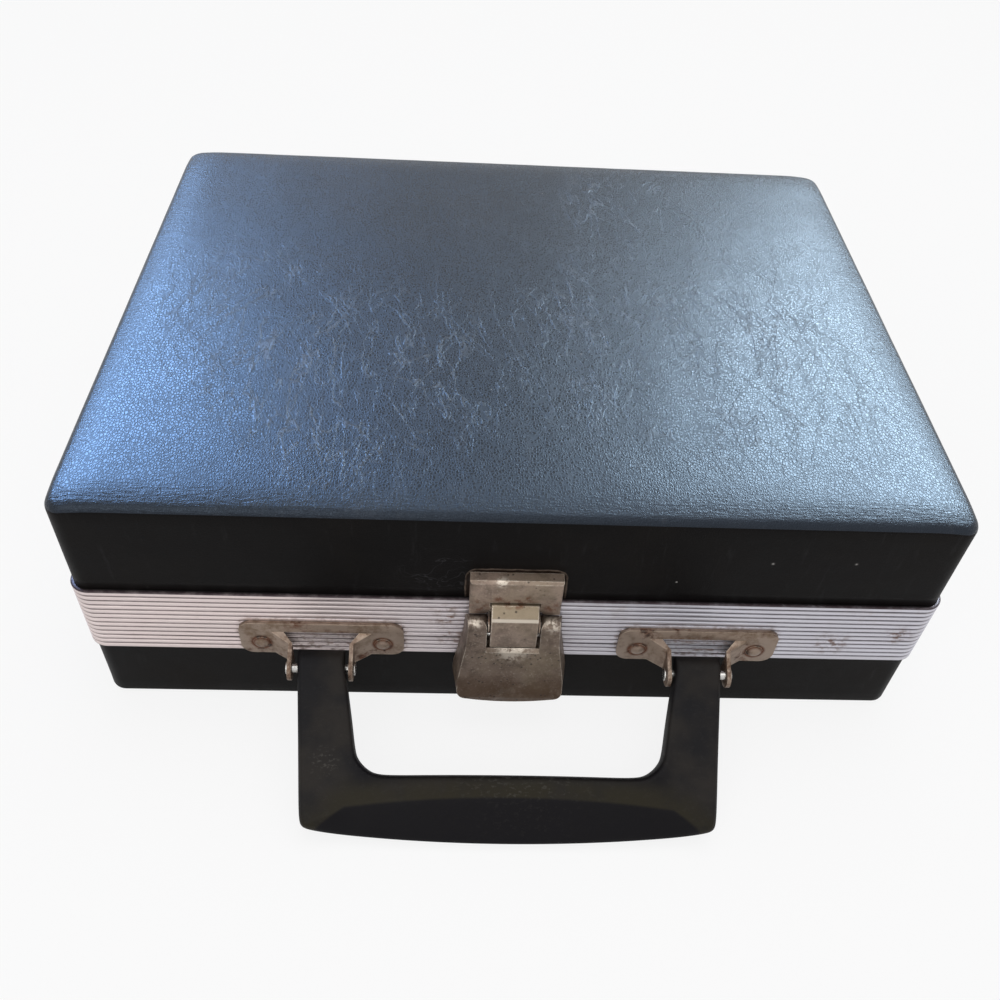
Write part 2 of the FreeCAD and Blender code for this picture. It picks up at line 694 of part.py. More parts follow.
lever_far = lever_front_foot + overrun
outer_loft = Part.makeLoft([lever_wire(0, 0, 0), lever_wire(lever_far, lever_side_draft, 0)],
                           True, True)
lever_profile = [(lever_back, latch_pivot_z), (lever_back, lever_foot_back_z),
                 (lever_foot_back, lever_bottom_z - overrun),
                 (lever_front_foot, lever_bottom_z - overrun),
                 (lever_front_foot, lever_foot_front_z), (lever_front_low, lever_low_z),
                 (lever_front_mid, lever_mid_z), (lever_front_notch, claw_low_z),
                 (lever_front_top, latch_pivot_z)]
body = side_prism(lever_profile, -2 * lever_foot_half, 2 * lever_foot_half)
knuckle = cross_rod(knuckle_radius, -2 * lever_foot_half, 2 * lever_foot_half,
                    latch_pivot_out, latch_pivot_z)
lever_solid = body.fuse(knuckle).common(outer_loft).removeSplitter()
inner_loft = Part.makeLoft([lever_wire(-overrun, lever_wall, lever_floor),
                            lever_wire(lever_far, lever_side_draft + lever_wall, lever_floor)],
                           True, True)
inner_profile = [(-overrun, lever_hollow_top), (-overrun, lever_bottom_z),
                 (lever_front_foot - lever_wall, lever_bottom_z),
                 (lever_front_foot - lever_wall, lever_foot_front_z),
                 (lever_front_low - lever_wall, lever_low_z),
                 (lever_front_mid - lever_wall, lever_mid_z),
                 (lever_front_notch - lever_wall, lever_hollow_top)]
hollow = side_prism(inner_profile, -2 * lever_foot_half, 2 * lever_foot_half).common(inner_loft)
notch = block(-notch_half, notch_half, -face_y - lever_far, -face_y + overrun,
              claw_low_z, latch_pivot_z + 2 * knuckle_radius)
claw_reach = math.hypot(claw_front - claw_pin_out, claw_pin_z - claw_low_z)
relief = cross_rod(claw_reach + claw_swing_gap, -notch_half, notch_half, claw_pin_out, claw_pin_z)
plate_room = block(-notch_half, notch_half, -face_y - latch_plate_thick - lever_plate_gap,
                   -face_y + overrun, lever_bottom_z - overrun, latch_pivot_z)
lever_solid = lever_solid.cut(hollow).cut(notch).cut(relief).cut(plate_room)
ledge = side_prism([(lever_ledge_out, lever_ledge_z),
                    (lever_far, lever_ledge_low_z - (lever_far - lever_front_notch)),
                    (lever_far, lever_ledge_z + overrun), (lever_ledge_out, lever_ledge_z + overrun)],
                   -notch_half, notch_half)
lever_solid = lever_solid.cut(ledge)
ear_top = latch_pivot_z + knuckle_radius
ear_block = block(notch_half, lever_ear_out, -face_y - lever_far, -face_y + overrun,
                  latch_pivot_z - knuckle_radius, ear_top)
ear_edges = [e for e in ear_block.Edges if abs(e.tangentAt(e.FirstParameter).y) > 0.9
             and e.CenterOfMass.z > latch_pivot_z]
ear_dome = ear_block.makeFillet(lever_ear_round, ear_edges)
ear_room = block(notch_half, lever_ear_out + overrun, -face_y - lever_far, -face_y + overrun,
                 latch_pivot_z, ear_top + overrun).cut(ear_dome)
lever_solid = lever_solid.cut([ear_room, both_sides(ear_room)])
ear_bore = cross_rod(latch_pin_radius + pin_play, -pin_end - cheek_gap, pin_end + cheek_gap,
                     latch_pivot_out, latch_pivot_z)
claw_pin_end = (notch_half + lever_top_half) / 2
claw_pin_bore = cross_rod(claw_pin_radius, -claw_pin_end, claw_pin_end, claw_pin_out, claw_pin_z)
latch_lever = lever_solid.cut(ear_bore).cut(claw_pin_bore)
claw_pin = cross_rod(claw_pin_radius, -claw_pin_end, claw_pin_end, claw_pin_out, claw_pin_z)

# Claw: block between the lugs, whose hook goes over the keeper's lip
claw_profile = [(claw_front, claw_low_z), (claw_front, claw_knee_z), (claw_brow_out, claw_brow_z),
                (claw_head_out, claw_head_z), (hook_tip_out, hook_tip_top),
                (hook_tip_out, hook_low_z), (claw_neck_out, hook_low_z),
                (claw_neck_out, claw_neck_z), (claw_back, claw_neck_z - claw_heel),
                (claw_back, claw_low_z + claw_heel), (claw_back + claw_heel, claw_low_z)]
claw_solid = side_prism(claw_profile, -claw_half_wide, claw_half_wide)
claw_solid = claw_solid.cut(cross_rod(claw_pin_radius + pin_play, -2 * claw_half_wide,
                                      2 * claw_half_wide, claw_pin_out, claw_pin_z))
front_limit = -face_y - claw_head_out + claw_edge_round
claw_edges = [e for e in claw_solid.Edges
              if e.BoundBox.YMax < front_limit and e.BoundBox.ZMax > claw_pin_z + claw_pin_radius * 2]
latch_claw = claw_solid.makeFillet(claw_edge_round, claw_edges)

# Keeper on the lid: a bevelled block with a slot for the hook
lid_face_out = cloth_y - face_y
lip_rise = keeper_lip_z - keeper_low_z
keeper_profile = [(keeper_clear, keeper_leg_z), (keeper_lip_out, keeper_leg_z),
                  (keeper_front, keeper_leg_z + lip_rise), (keeper_front, keeper_bevel_z),
                  (keeper_bevel_out, keeper_high_z), (lid_face_out, keeper_high_z),
                  (lid_face_out, keeper_step_z), (keeper_clear, keeper_step_z)]
keeper_solid = side_prism(keeper_profile, -keeper_half_wide, keeper_half_wide)
keeper_sides = [e for e in keeper_solid.Edges
                if abs(abs(e.CenterOfMass.x) - keeper_half_wide) < keeper_side_round / 2
                and e.BoundBox.YMax < -face_y - keeper_bevel_out + keeper_side_round / 4
                and e.BoundBox.ZLength > keeper_side_round * 2]
keeper_solid = keeper_solid.makeFillet(keeper_side_round, keeper_sides)
slot_half = claw_half_wide + keeper_slot_side
below_lip = side_prism([(-overrun, keeper_leg_z - overrun), (keeper_front + overrun, keeper_leg_z - overrun),
                        (keeper_front + overrun, keeper_lip_z), (keeper_front, keeper_lip_z),
                        (keeper_lip_out, keeper_low_z), (-overrun, keeper_low_z)],
                       -slot_half, slot_half)
leg_out = [(-keeper_leg_in, keeper_leg_z), (-slot_half, keeper_low_z),
           (slot_half, keeper_low_z), (keeper_leg_in, keeper_leg_z)]
between_legs = face_of([front(x, -overrun, z) for x, z in leg_out])
between_legs = between_legs.extrude(V(0, -keeper_front - 2 * overrun, 0))
keeper_solid = keeper_solid.cut(below_lip).cut(between_legs)
keeper_slot = block(-slot_half, slot_half, -face_y - keeper_front - overrun,
                    -cloth_y + overrun, keeper_slot_low, keeper_slot_high)
latch_keeper = keeper_solid.cut(keeper_slot)
stud_depth = keeper_front / 2
stud_long = stud_depth + cloth + ply_wall - lid_face_out
keeper_studs = []
for x, z in keeper_stud_spots:
    stud = bore_y(keeper_stud_radius, x, z, -face_y - stud_depth, -face_y - stud_depth + stud_long)
    keeper_studs.append(stud)
    latch_keeper = latch_keeper.cut(stud)
keeper_rivets = Part.makeCompound(keeper_studs)


# Rear hinges: curled knuckles round a pin, and a stop flange on each leaf
def leaf_plate(x_mid, y0, y1, z0, z1, rounded_at_top):
    half = hinge_long / 2
    plate = block(x_mid - half, x_mid + half, y0, y1, z0, z1)
    far_z = z1 if rounded_at_top else z0
    corners = [e for e in plate.Edges
               if abs(e.tangentAt(e.FirstParameter).y) > 0.9
               and abs(e.CenterOfMass.z - far_z) < leaf_corner / 2]
    return plate.makeFillet(leaf_corner, corners)


def knuckle_tube(x0, x1):
    return Part.makeCylinder(hinge_knuckle_radius, x1 - x0, V(x0, hinge_y, hinge_z), V(1, 0, 0))


def pin_hole(radius, x_mid):
    return Part.makeCylinder(radius, 2 * hinge_long, V(x_mid - hinge_long, hinge_y, hinge_z),
                             V(1, 0, 0))


leaf_gap_low = hinge_z - hinge_knuckle_radius - hinge_knuckle_gap
leaf_gap_high = hinge_z + hinge_knuckle_radius + hinge_knuckle_gap


def base_leaf(x_mid):
    half = hinge_long / 2
    middle = hinge_middle_long / 2 + hinge_knuckle_gap
    leaf = leaf_plate(x_mid, face_y, face_y + leaf_thick, hinge_z - base_leaf_high, hinge_z, False)
    for x0, x1 in ((x_mid - half, x_mid - middle), (x_mid + middle, x_mid + half)):
        leaf = leaf.fuse(knuckle_tube(x0, x1))
    room = block(x_mid - middle, x_mid + middle, face_y - overrun, hinge_y + overrun,
                 leaf_gap_low, hinge_z + overrun)
    leaf = leaf.cut(room)
    flange = block(x_mid - half, x_mid + half, face_y, hinge_y + stop_reach,
                   hinge_z - stop_distance - stop_thick, hinge_z - stop_distance)
    leaf = leaf.fuse(flange).removeSplitter().cut(pin_hole(hinge_pin_radius, x_mid))
    for x, z in base_rivet_spots:
        leaf = leaf.cut(bore_y(hinge_rivet_radius, x, z, face_y - overrun, face_y + overrun))
    return leaf


def lid_leaf(x_mid):
    half = hinge_long / 2
    middle = hinge_middle_long / 2
    leaf = leaf_plate(x_mid, cloth_y, cloth_y + leaf_thick, leaf_gap_high,
                      hinge_z + lid_leaf_high, True)
    web = block(x_mid - middle, x_mid + middle, cloth_y, hinge_y,
                hinge_z + hinge_pin_radius, leaf_gap_high + leaf_thick)
    flange = block(x_mid - half, x_mid + half, cloth_y, hinge_y + stop_reach,
                   hinge_z + stop_distance, hinge_z + stop_distance + stop_thick)
    leaf = leaf.fuse([web, flange, knuckle_tube(x_mid - middle, x_mid + middle)]).removeSplitter()
    leaf = leaf.cut(pin_hole(hinge_pin_radius + pin_play, x_mid))
    for x, z in lid_rivet_spots:
        leaf = leaf.cut(bore_y(hinge_rivet_radius, x, z, cloth_y - overrun, face_y + overrun))
    return leaf


def hinge_pin(x_mid):
    return Part.makeCylinder(hinge_pin_radius, hinge_long,
                             V(x_mid - hinge_long / 2, hinge_y, hinge_z), V(1, 0, 0))


hinge_base_leaf_left = base_leaf(-hinge_x)
hinge_base_leaf_right = base_leaf(hinge_x)
hinge_lid_leaf_left = lid_leaf(-hinge_x)
hinge_lid_leaf_right = lid_leaf(hinge_x)
hinge_pin_left = hinge_pin(-hinge_x)
hinge_pin_right = hinge_pin(hinge_x)
base_hinge_rivet = rivet(hinge_rivet_head_radius, hinge_rivet_head_high, hinge_rivet_radius,
                         leaf_thick + band_depth + cloth + ply_wall)
lid_hinge_rivet = rivet(hinge_rivet_head_radius, hinge_rivet_head_high, hinge_rivet_radius,
                        leaf_thick + cloth + ply_wall)
hinge_base_rivets = Part.makeCompound([on_rear(base_hinge_rivet, x, face_y + leaf_thick, z)
                                       for x, z in base_rivet_spots])
hinge_lid_rivets = Part.makeCompound([on_rear(lid_hinge_rivet, x, cloth_y + leaf_thick, z)
                                      for x, z in lid_rivet_spots])

# Every piece goes to its own file
nodes = {
    "base_shell": base_shell,
    "base_side_cover": base_side_cover,
    "base_bottom_cover": base_bottom_cover,
    "rim_band": rim_band,
    "cassette_tray": cassette_tray,
    "tray_dividers": tray_dividers,
    "handle_bracket_left": handle_bracket_left,
    "handle_bracket_right": handle_bracket_right,
    "bracket_rivets": bracket_rivets,
    "handle_pin_left": handle_pin_left,
    "handle_pin_right": handle_pin_right,
    "handle_grip": handle_grip,
    "latch_base_plate": latch_base_plate,
    "latch_plate_rivets": latch_plate_rivets,
    "latch_pivot_left": latch_pivot_left,
    "latch_pivot_right": latch_pivot_right,
    "latch_lever": latch_lever,
    "claw_pin": claw_pin,
    "latch_claw": latch_claw,
    "latch_keeper": latch_keeper,
    "keeper_rivets": keeper_rivets,
    "lid_shell": lid_shell,
    "lid_padding": lid_padding,
    "lid_cover": lid_cover,
    "lid_lining": lid_lining,
    "lid_foam_pad": lid_foam_pad,
    "hinge_base_leaf_left": hinge_base_leaf_left,
    "hinge_base_leaf_right": hinge_base_leaf_right,
    "hinge_lid_leaf_left": hinge_lid_leaf_left,
    "hinge_lid_leaf_right": hinge_lid_leaf_right,
    "hinge_pin_left": hinge_pin_left,
    "hinge_pin_right": hinge_pin_right,
    "hinge_base_rivets": hinge_base_rivets,
    "hinge_lid_rivets": hinge_lid_rivets,
}

os.makedirs("parts", exist_ok=True)
for name, shape in nodes.items():
    solids = shape.Solids
    volume = sum(s.Volume for s in solids)
    box = shape.BoundBox
    print(name, len(solids), "solids", round(volume / 1000, 2), "cm3", shape.isValid(),
          "x", round(box.XMin, 1), round(box.XMax, 1), "y", round(box.YMin, 1),
          round(box.YMax, 1), "z", round(box.ZMin, 2), round(box.ZMax, 2))
    out = solids[0] if len(solids) == 1 else Part.makeCompound(solids)
    out.exportStep("parts/" + name + ".step")
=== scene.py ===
import json
import math
import bmesh
import bpy
from mathutils import Matrix, Vector, geometry, noise


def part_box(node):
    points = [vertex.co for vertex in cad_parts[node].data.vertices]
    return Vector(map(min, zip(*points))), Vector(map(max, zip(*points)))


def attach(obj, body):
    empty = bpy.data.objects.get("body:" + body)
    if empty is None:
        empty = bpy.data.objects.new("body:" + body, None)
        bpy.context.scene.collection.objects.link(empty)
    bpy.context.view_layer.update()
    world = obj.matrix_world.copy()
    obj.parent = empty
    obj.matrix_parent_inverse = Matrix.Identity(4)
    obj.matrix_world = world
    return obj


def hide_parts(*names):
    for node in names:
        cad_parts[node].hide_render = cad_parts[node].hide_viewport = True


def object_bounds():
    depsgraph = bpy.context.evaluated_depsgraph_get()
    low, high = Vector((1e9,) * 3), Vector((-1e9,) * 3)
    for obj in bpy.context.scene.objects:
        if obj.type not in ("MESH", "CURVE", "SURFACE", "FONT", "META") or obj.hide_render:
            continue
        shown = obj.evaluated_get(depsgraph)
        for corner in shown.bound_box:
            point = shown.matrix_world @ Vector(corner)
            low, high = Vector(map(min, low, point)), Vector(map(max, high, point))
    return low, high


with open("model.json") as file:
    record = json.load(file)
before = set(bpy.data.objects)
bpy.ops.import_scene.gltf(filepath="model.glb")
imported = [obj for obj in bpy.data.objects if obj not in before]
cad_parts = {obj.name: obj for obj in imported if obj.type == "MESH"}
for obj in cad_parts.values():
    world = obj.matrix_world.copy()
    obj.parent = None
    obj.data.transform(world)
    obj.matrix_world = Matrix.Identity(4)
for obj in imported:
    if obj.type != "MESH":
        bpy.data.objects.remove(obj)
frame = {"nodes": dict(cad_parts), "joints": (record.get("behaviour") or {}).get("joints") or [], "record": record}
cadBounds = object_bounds()
mm = 0.001
print("frame loaded:", len(frame["nodes"]), "pieces")

bodyOf = {name: body for body, names in frame["record"]["behaviour"]["bodies"].items() for name in names}
jointAt = {joint["name"]: Vector(joint["pos_m"]) for joint in frame["joints"]}


# small helpers for shader nodes
def startMaterial(name, color, roughness, metallic=0.0, specular=0.5):
    made = bpy.data.materials.new(name)
    made.use_nodes = True
    shader = made.node_tree.nodes["Principled BSDF"]
    shader.inputs["Base Color"].default_value = color
    shader.inputs["Roughness"].default_value = roughness
    shader.inputs["Metallic"].default_value = metallic
    shader.inputs["Specular IOR Level"].default_value = specular
    place = addNode(made.node_tree, "ShaderNodeTexCoord").outputs["Object"]
    return made, made.node_tree, shader, place


def addNode(tree, kind, inputs=None, **settings):
    made = tree.nodes.new(kind)
    for key, value in settings.items():
        setattr(made, key, value)
    for key, value in (inputs or {}).items():
        if isinstance(value, bpy.types.NodeSocket):
            tree.links.new(value, made.inputs[key])
        else:
            made.inputs[key].default_value = value
    return made


def calc(tree, operation, first, second=0.0):
    return addNode(tree, "ShaderNodeMath", {0: first, 1: second}, operation=operation).outputs[0]


def times(tree, first, second):
    return calc(tree, "MULTIPLY", first, second)


def plus(tree, first, second):
    return calc(tree, "ADD", first, second)


def minus(tree, first, second):
    return calc(tree, "SUBTRACT", first, second)


def larger(tree, first, second):
    return calc(tree, "MAXIMUM", first, second)


def unsigned(tree, value):
    return calc(tree, "ABSOLUTE", value)


def vectorCalc(tree, operation, first, second=(0, 0, 0)):
    made = addNode(tree, "ShaderNodeVectorMath", {0: first, 1: second}, operation=operation)
    return made.outputs["Value" if operation in ("LENGTH", "DISTANCE", "DOT_PRODUCT") else "Vector"]


def smoothMask(tree, value, fromLow, fromHigh, toLow=0.0, toHigh=1.0):
    limits = {"Value": value, "From Min": fromLow, "From Max": fromHigh, "To Min": toLow, "To Max": toHigh}
    return addNode(tree, "ShaderNodeMapRange", limits, interpolation_type="SMOOTHSTEP").outputs["Result"]


def mixColor(tree, factor, first, second):
    return addNode(tree, "ShaderNodeMix", {0: factor, 6: first, 7: second}, data_type="RGBA").outputs[2]


def noiseAt(tree, place, scale, detail=3.0, roughness=0.55, output="Fac"):
    return addNode(tree, "ShaderNodeTexNoise",
                   {"Vector": place, "Scale": scale, "Detail": detail, "Roughness": roughness}).outputs[output]


def cellsAt(tree, place, scale, feature="F1"):
    return addNode(tree, "ShaderNodeTexVoronoi", {"Vector": place, "Scale": scale}, feature=feature).outputs


def stretched(tree, place, scale):
    return vectorCalc(tree, "MULTIPLY", place, scale)


def bumpOn(tree, height, distance, strength, normal=None):
    inputs = {"Height": height, "Distance": distance, "Strength": strength}
    if normal is not None:
        inputs["Normal"] = normal
    return addNode(tree, "ShaderNodeBump", inputs).outputs["Normal"]


def splitPlace(tree, place):
    return addNode(tree, "ShaderNodeSeparateXYZ", {0: place}).outputs


def drifted(tree, place, reach, scale, detail, roughness):
    # the place moved about by a colour noise, by up to half of the reach
    swing = noiseAt(tree, place, scale, detail, roughness, "Color")
    swing = vectorCalc(tree, "SUBTRACT", swing, (0.5, 0.5, 0.5))
    return vectorCalc(tree, "ADD", place, vectorCalc(tree, "MULTIPLY", swing, (reach, reach, reach)))


def patchy(tree, place, grain, low, high, toLow=0.0, toHigh=1.0):
    # grain is scale, detail and roughness of the noise
    return smoothMask(tree, noiseAt(tree, place, *grain), low, high, toLow, toHigh)


def specksAt(tree, place, scale, wide, narrow, rarity):
    # one small dot in each cell whose random value is above the rarity
    cells = cellsAt(tree, place, scale)
    chosen = calc(tree, "GREATER_THAN", splitPlace(tree, cells["Color"])[0], rarity)
    return times(tree, smoothMask(tree, cells["Distance"], wide, narrow), chosen)


def spotsAt(tree, place, spots, core):
    # soft round spots, full inside their core
    total = 0.0
    for centre, reach in spots:
        near = smoothMask(tree, vectorCalc(tree, "DISTANCE", place, centre), reach, reach * core)
        total = larger(tree, total, near)
    return total


def frontBoxDistance(tree, place, centre, half, radius):
    # distance from a rounded rectangle drawn on the front, in X and Z
    flat = vectorCalc(tree, "MULTIPLY", vectorCalc(tree, "SUBTRACT", place, centre), (1, 0, 1))
    inside = (half[0] - radius, 0, half[1] - radius)
    reach = vectorCalc(tree, "SUBTRACT", vectorCalc(tree, "ABSOLUTE", flat), inside)
    outside = vectorCalc(tree, "LENGTH", vectorCalc(tree, "MAXIMUM", reach, (0, 0, 0)))
    parts = splitPlace(tree, reach)
    within = calc(tree, "MINIMUM", larger(tree, parts[0], parts[2]), 0.0)
    return minus(tree, plus(tree, outside, within), radius)


def wornEdges(tree, radius, low, high):
    # where the softened normal leaves the true one there is an edge
    soft = addNode(tree, "ShaderNodeBevel", {"Radius": radius}, samples=4).outputs[0]
    true = addNode(tree, "ShaderNodeNewGeometry").outputs["Normal"]
    same = vectorCalc(tree, "DOT_PRODUCT", soft, true)
    return smoothMask(tree, minus(tree, 1.0, same), low, high)


def connect(tree, shader, color, normal, roughness=None, metallic=None):
    given = {"Base Color": color, "Normal": normal, "Roughness": roughness, "Metallic": metallic}
    for name, value in given.items():
        if value is not None:
            tree.links.new(value, shader.inputs[name])


# leathercloth
leatherLook = {
    "deep": (0.0075, 0.008, 0.0105, 1), "faded": (0.017, 0.0185, 0.024, 1), "scuff": (0.085, 0.085, 0.09, 1),
    # painted highlight colour for the crease lines on the top
    "paintedLineHighlight": (0.17, 0.185, 0.21, 1),
    "sideDeep": (0.0036, 0.0030, 0.0030, 1), "sideFaded": (0.0068, 0.0056, 0.0050, 1),
    "dust": (0.42, 0.40, 0.38, 1), "tint": (0.60, 0.77, 1.0, 1), "grain": 0.9 * mm, "edgeBand": 15 * mm,
    "pressOut": 1.35 * mm, "pressRadius": 4.2 * mm, "topShine": 0.38, "sideShine": 0.07,
    "relief": 0.03 * mm, "creaseDeep": 0.16 * mm, "wrinkleDeep": 0.30 * mm,
    "press": (0.020, 0.012, 0.008, 1), "grime": (0.19, 0.145, 0.115, 1), "hairsAt": (-0.026, -0.118, 0.074),
    # direction in degrees, noise scale, line width, shift of the noise
    "creaseLayers": ((3, 130, 0.015, 0.0), (-32, 140, 0.014, 0.31),
                     (28, 140, 0.014, 0.57), (-14, 190, 0.018, 0.83)),
    "creasePatches": (((-0.068, -0.050, 0.103), 0.085), ((0.072, -0.020, 0.103), 0.105),
                      ((0.060, 0.075, 0.103), 0.055), ((-0.105, 0.0, 0.103), 0.05)),
}


def leatherGrain(tree, place, depth=1.0):
    # pebble grain, a little drawn out and warped, with finer cells between
    look = leatherLook
    warped = drifted(tree, place, 1.4 * mm, 260, 2, 0.5)
    cells = cellsAt(tree, stretched(tree, warped, (1.0, 0.66, 1.0)), 1 / look["grain"], "DISTANCE_TO_EDGE")
    pebbles = smoothMask(tree, cells["Distance"], 0.0, 0.25)
    fine = noiseAt(tree, stretched(tree, warped, (1.0, 0.6, 1.0)), 1500, 2, 0.6)
    normal = bumpOn(tree, noiseAt(tree, place, 42, 2, 0.5), 0.9 * mm, 0.28)
    normal = bumpOn(tree, pebbles, look["relief"] * depth, 0.9, normal)
    return warped, pebbles, bumpOn(tree, fine, look["relief"] * depth, 0.7, normal)


def creaseLines(tree, place, swing, scale, width, apart):
    # thin broken lines where a slow noise, drawn out along Y, passes its middle value
    turned = addNode(tree, "ShaderNodeVectorRotate", {"Vector": place, "Angle": math.radians(swing)},
                     rotation_type="Z_AXIS").outputs[0]
    moved = vectorCalc(tree, "ADD", turned, (apart, apart * 2, 0))
    field = noiseAt(tree, stretched(tree, moved, (1.0, 0.16, 1.0)), scale, 1, 0.5)
    line = smoothMask(tree, unsigned(tree, minus(tree, field, 0.5)), width, width * 0.2)
    shown = patchy(tree, stretched(tree, moved, (1.0, 0.4, 1.0)), (60, 2, 0.6), 0.45, 0.58)
    return times(tree, line, shown)


def topLeatherMaterial():
    look = leatherLook
    made, tree, shader, place = startMaterial("lidTopLeathercloth", look["deep"], 0.4, 0.0, look["topShine"])
    shader.inputs["Specular Tint"].default_value = look["tint"]
    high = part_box("lid_cover")[1]
    parts = splitPlace(tree, place)
    warped, pebbles, normal = leatherGrain(tree, place)
    # creases cross the top in patches left and right of the middle
    bent = drifted(tree, place, 3.4 * mm, 210, 3, 0.6)
    lines = 0.0
    for layer in look["creaseLayers"]:
        lines = larger(tree, lines, creaseLines(tree, bent, *layer))
    around = spotsAt(tree, place, look["creasePatches"], 0.25)
    patches = patchy(tree, place, (21, 2, 0.5), 0.34, 0.56, 0.55, 1.0)
    lines = times(tree, lines, times(tree, around, patches))
    # fine wrinkles run along the rolled edges
    alongX = noiseAt(tree, stretched(tree, warped, (190, 1150, 1150)), 1.0, 3, 0.6)
    nearFront = smoothMask(tree, unsigned(tree, parts[1]), high.y - look["edgeBand"], high.y - 5 * mm)
    nearSide = smoothMask(tree, unsigned(tree, parts[0]), high.x - look["edgeBand"], high.x - 5 * mm)
    wrinkles = times(tree, alongX, larger(tree, nearFront, times(tree, nearSide, 0.4)))
    # colour: deep black, faded cloudily and in faint strokes, rubbed, with painted highlights along the creases
    # and specks of dust
    clouds = patchy(tree, stretched(tree, place, (1.0, 0.5, 1.0)), (26, 5, 0.62), 0.38, 0.72)
    color = mixColor(tree, times(tree, clouds, 0.75), look["deep"], look["faded"])
    strokes = patchy(tree, stretched(tree, place, (1.0, 0.12, 1.0)), (240, 4, 0.7), 0.56, 0.78, 0.0, 0.16)
    rubbed = times(tree, patchy(tree, place, (120, 6, 0.7), 0.60, 0.78), 0.25)
    rubbed = plus(tree, rubbed, strokes)
    color = mixColor(tree, rubbed, color, look["scuff"])
    # painted highlight: the crease lines are painted lighter, standing in for the light they catch
    color = mixColor(tree, times(tree, lines, 0.34), color, look["paintedLineHighlight"])
    dust = specksAt(tree, place, 120, 0.040, 0.018, 0.82)
    color = mixColor(tree, times(tree, dust, 0.65), color, look["dust"])
    valleys = times(tree, minus(tree, 1.0, pebbles), 0.22)
    roughness = plus(tree, 0.17, times(tree, noiseAt(tree, place, 33, 4, 0.6), 0.12))
    roughness = plus(tree, plus(tree, roughness, valleys), times(tree, rubbed, 0.35))
    normal = bumpOn(tree, lines, look["creaseDeep"], 0.9, normal)
    normal = bumpOn(tree, wrinkles, look["wrinkleDeep"], 0.9, normal)
    connect(tree, shader, color, normal, roughness)
    return made


def sideLeatherMaterial(name, withPress):
    look = leatherLook
    made, tree, shader, place = startMaterial(name, look["sideDeep"], 0.5, 0.0, look["sideShine"])
    parts = splitPlace(tree, place)
    normal = leatherGrain(tree, place, 0.7)[2]
    clouds = patchy(tree, place, (22, 5, 0.62), 0.42, 0.74)
    color = mixColor(tree, clouds, look["sideDeep"], look["sideFaded"])
    drawn = patchy(tree, stretched(tree, place, (1, 1, 0.14)), (420, 3, 0.65), 0.58, 0.8, 0.0, 0.07)
    color = mixColor(tree, drawn, color, look["scuff"])
    dust = specksAt(tree, place, 105, 0.052, 0.025, 0.66)
    halo = specksAt(tree, place, 105, 0.10, 0.05, 0.90)
    color = mixColor(tree, times(tree, halo, 0.10), color, look["dust"])
    color = mixColor(tree, times(tree, dust, 0.6), color, look["dust"])
    if withPress:
        keeperLow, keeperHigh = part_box("latch_keeper")
        out = look["pressOut"]
        centre = ((keeperLow.x + keeperHigh.x) / 2, 0, (keeperLow.z + keeperHigh.z) / 2)
        half = ((keeperHigh.x - keeperLow.x) / 2 + out, (keeperHigh.z - keeperLow.z) / 2 + out)
        away = frontBoxDistance(tree, place, centre, half, look["pressRadius"])
        front = calc(tree, "LESS_THAN", parts[1], 0.0)
        waves = minus(tree, noiseAt(tree, place, 240, 2, 0.5), 0.5)
        wavy = plus(tree, away, times(tree, waves, 0.9 * mm))
        ring = times(tree, smoothMask(tree, unsigned(tree, wavy), 0.50 * mm, 0.14 * mm), front)
        sunk = times(tree, smoothMask(tree, away, 0.4 * mm, -0.5 * mm), front)
        grime = times(tree, ring, patchy(tree, place, (300, 4, 0.7), 0.35, 0.6, 0.35, 1.0))
        color = mixColor(tree, times(tree, sunk, 0.7), color, look["press"])
        color = mixColor(tree, times(tree, grime, 0.80), color, look["grime"])
        # hair scratches lie left and above the keeper
        combed = stretched(tree, drifted(tree, place, 20 * mm, 70, 2, 0.5), (90, 90, 260))
        hairs = unsigned(tree, minus(tree, noiseAt(tree, combed, 1.0, 2, 0.5), 0.5))
        hairs = smoothMask(tree, hairs, 0.011, 0.003)
        besides = smoothMask(tree, vectorCalc(tree, "DISTANCE", place, look["hairsAt"]), 17 * mm, 4 * mm)
        color = mixColor(tree, times(tree, times(tree, hairs, besides), 0.28), color, look["scuff"])
        normal = bumpOn(tree, minus(tree, ring, sunk), 0.35 * mm, 0.9, normal)
    connect(tree, shader, color, normal, plus(tree, 0.42, times(tree, clouds, 0.12)))
    return made


# ribbed band
bandLook = {
    # painted shade colour for the grooves between the ribs
    "warm": (0.80, 0.69, 0.67, 1), "cool": (0.66, 0.65, 0.71, 1), "paintedGrooveShade": (0.045, 0.032, 0.036, 1),
    "stain": (0.17, 0.085, 0.05, 1), "ribs": 13, "grooveWide": 0.74 * mm,
    "plateUp": 39 * mm, "plateHalf": 9 * mm, "streak": (0.42, 0.38, 0.38, 1), "mottle": (0.45, 0.37, 0.34, 1),
    "stainSpots": (((-0.0235, -0.119, 0.052), 0.009), ((0.117, -0.119, 0.0405), 0.009),
                   ((-0.021, -0.119, 0.040), 0.008), ((0.140, -0.119, 0.046), 0.007)),
}


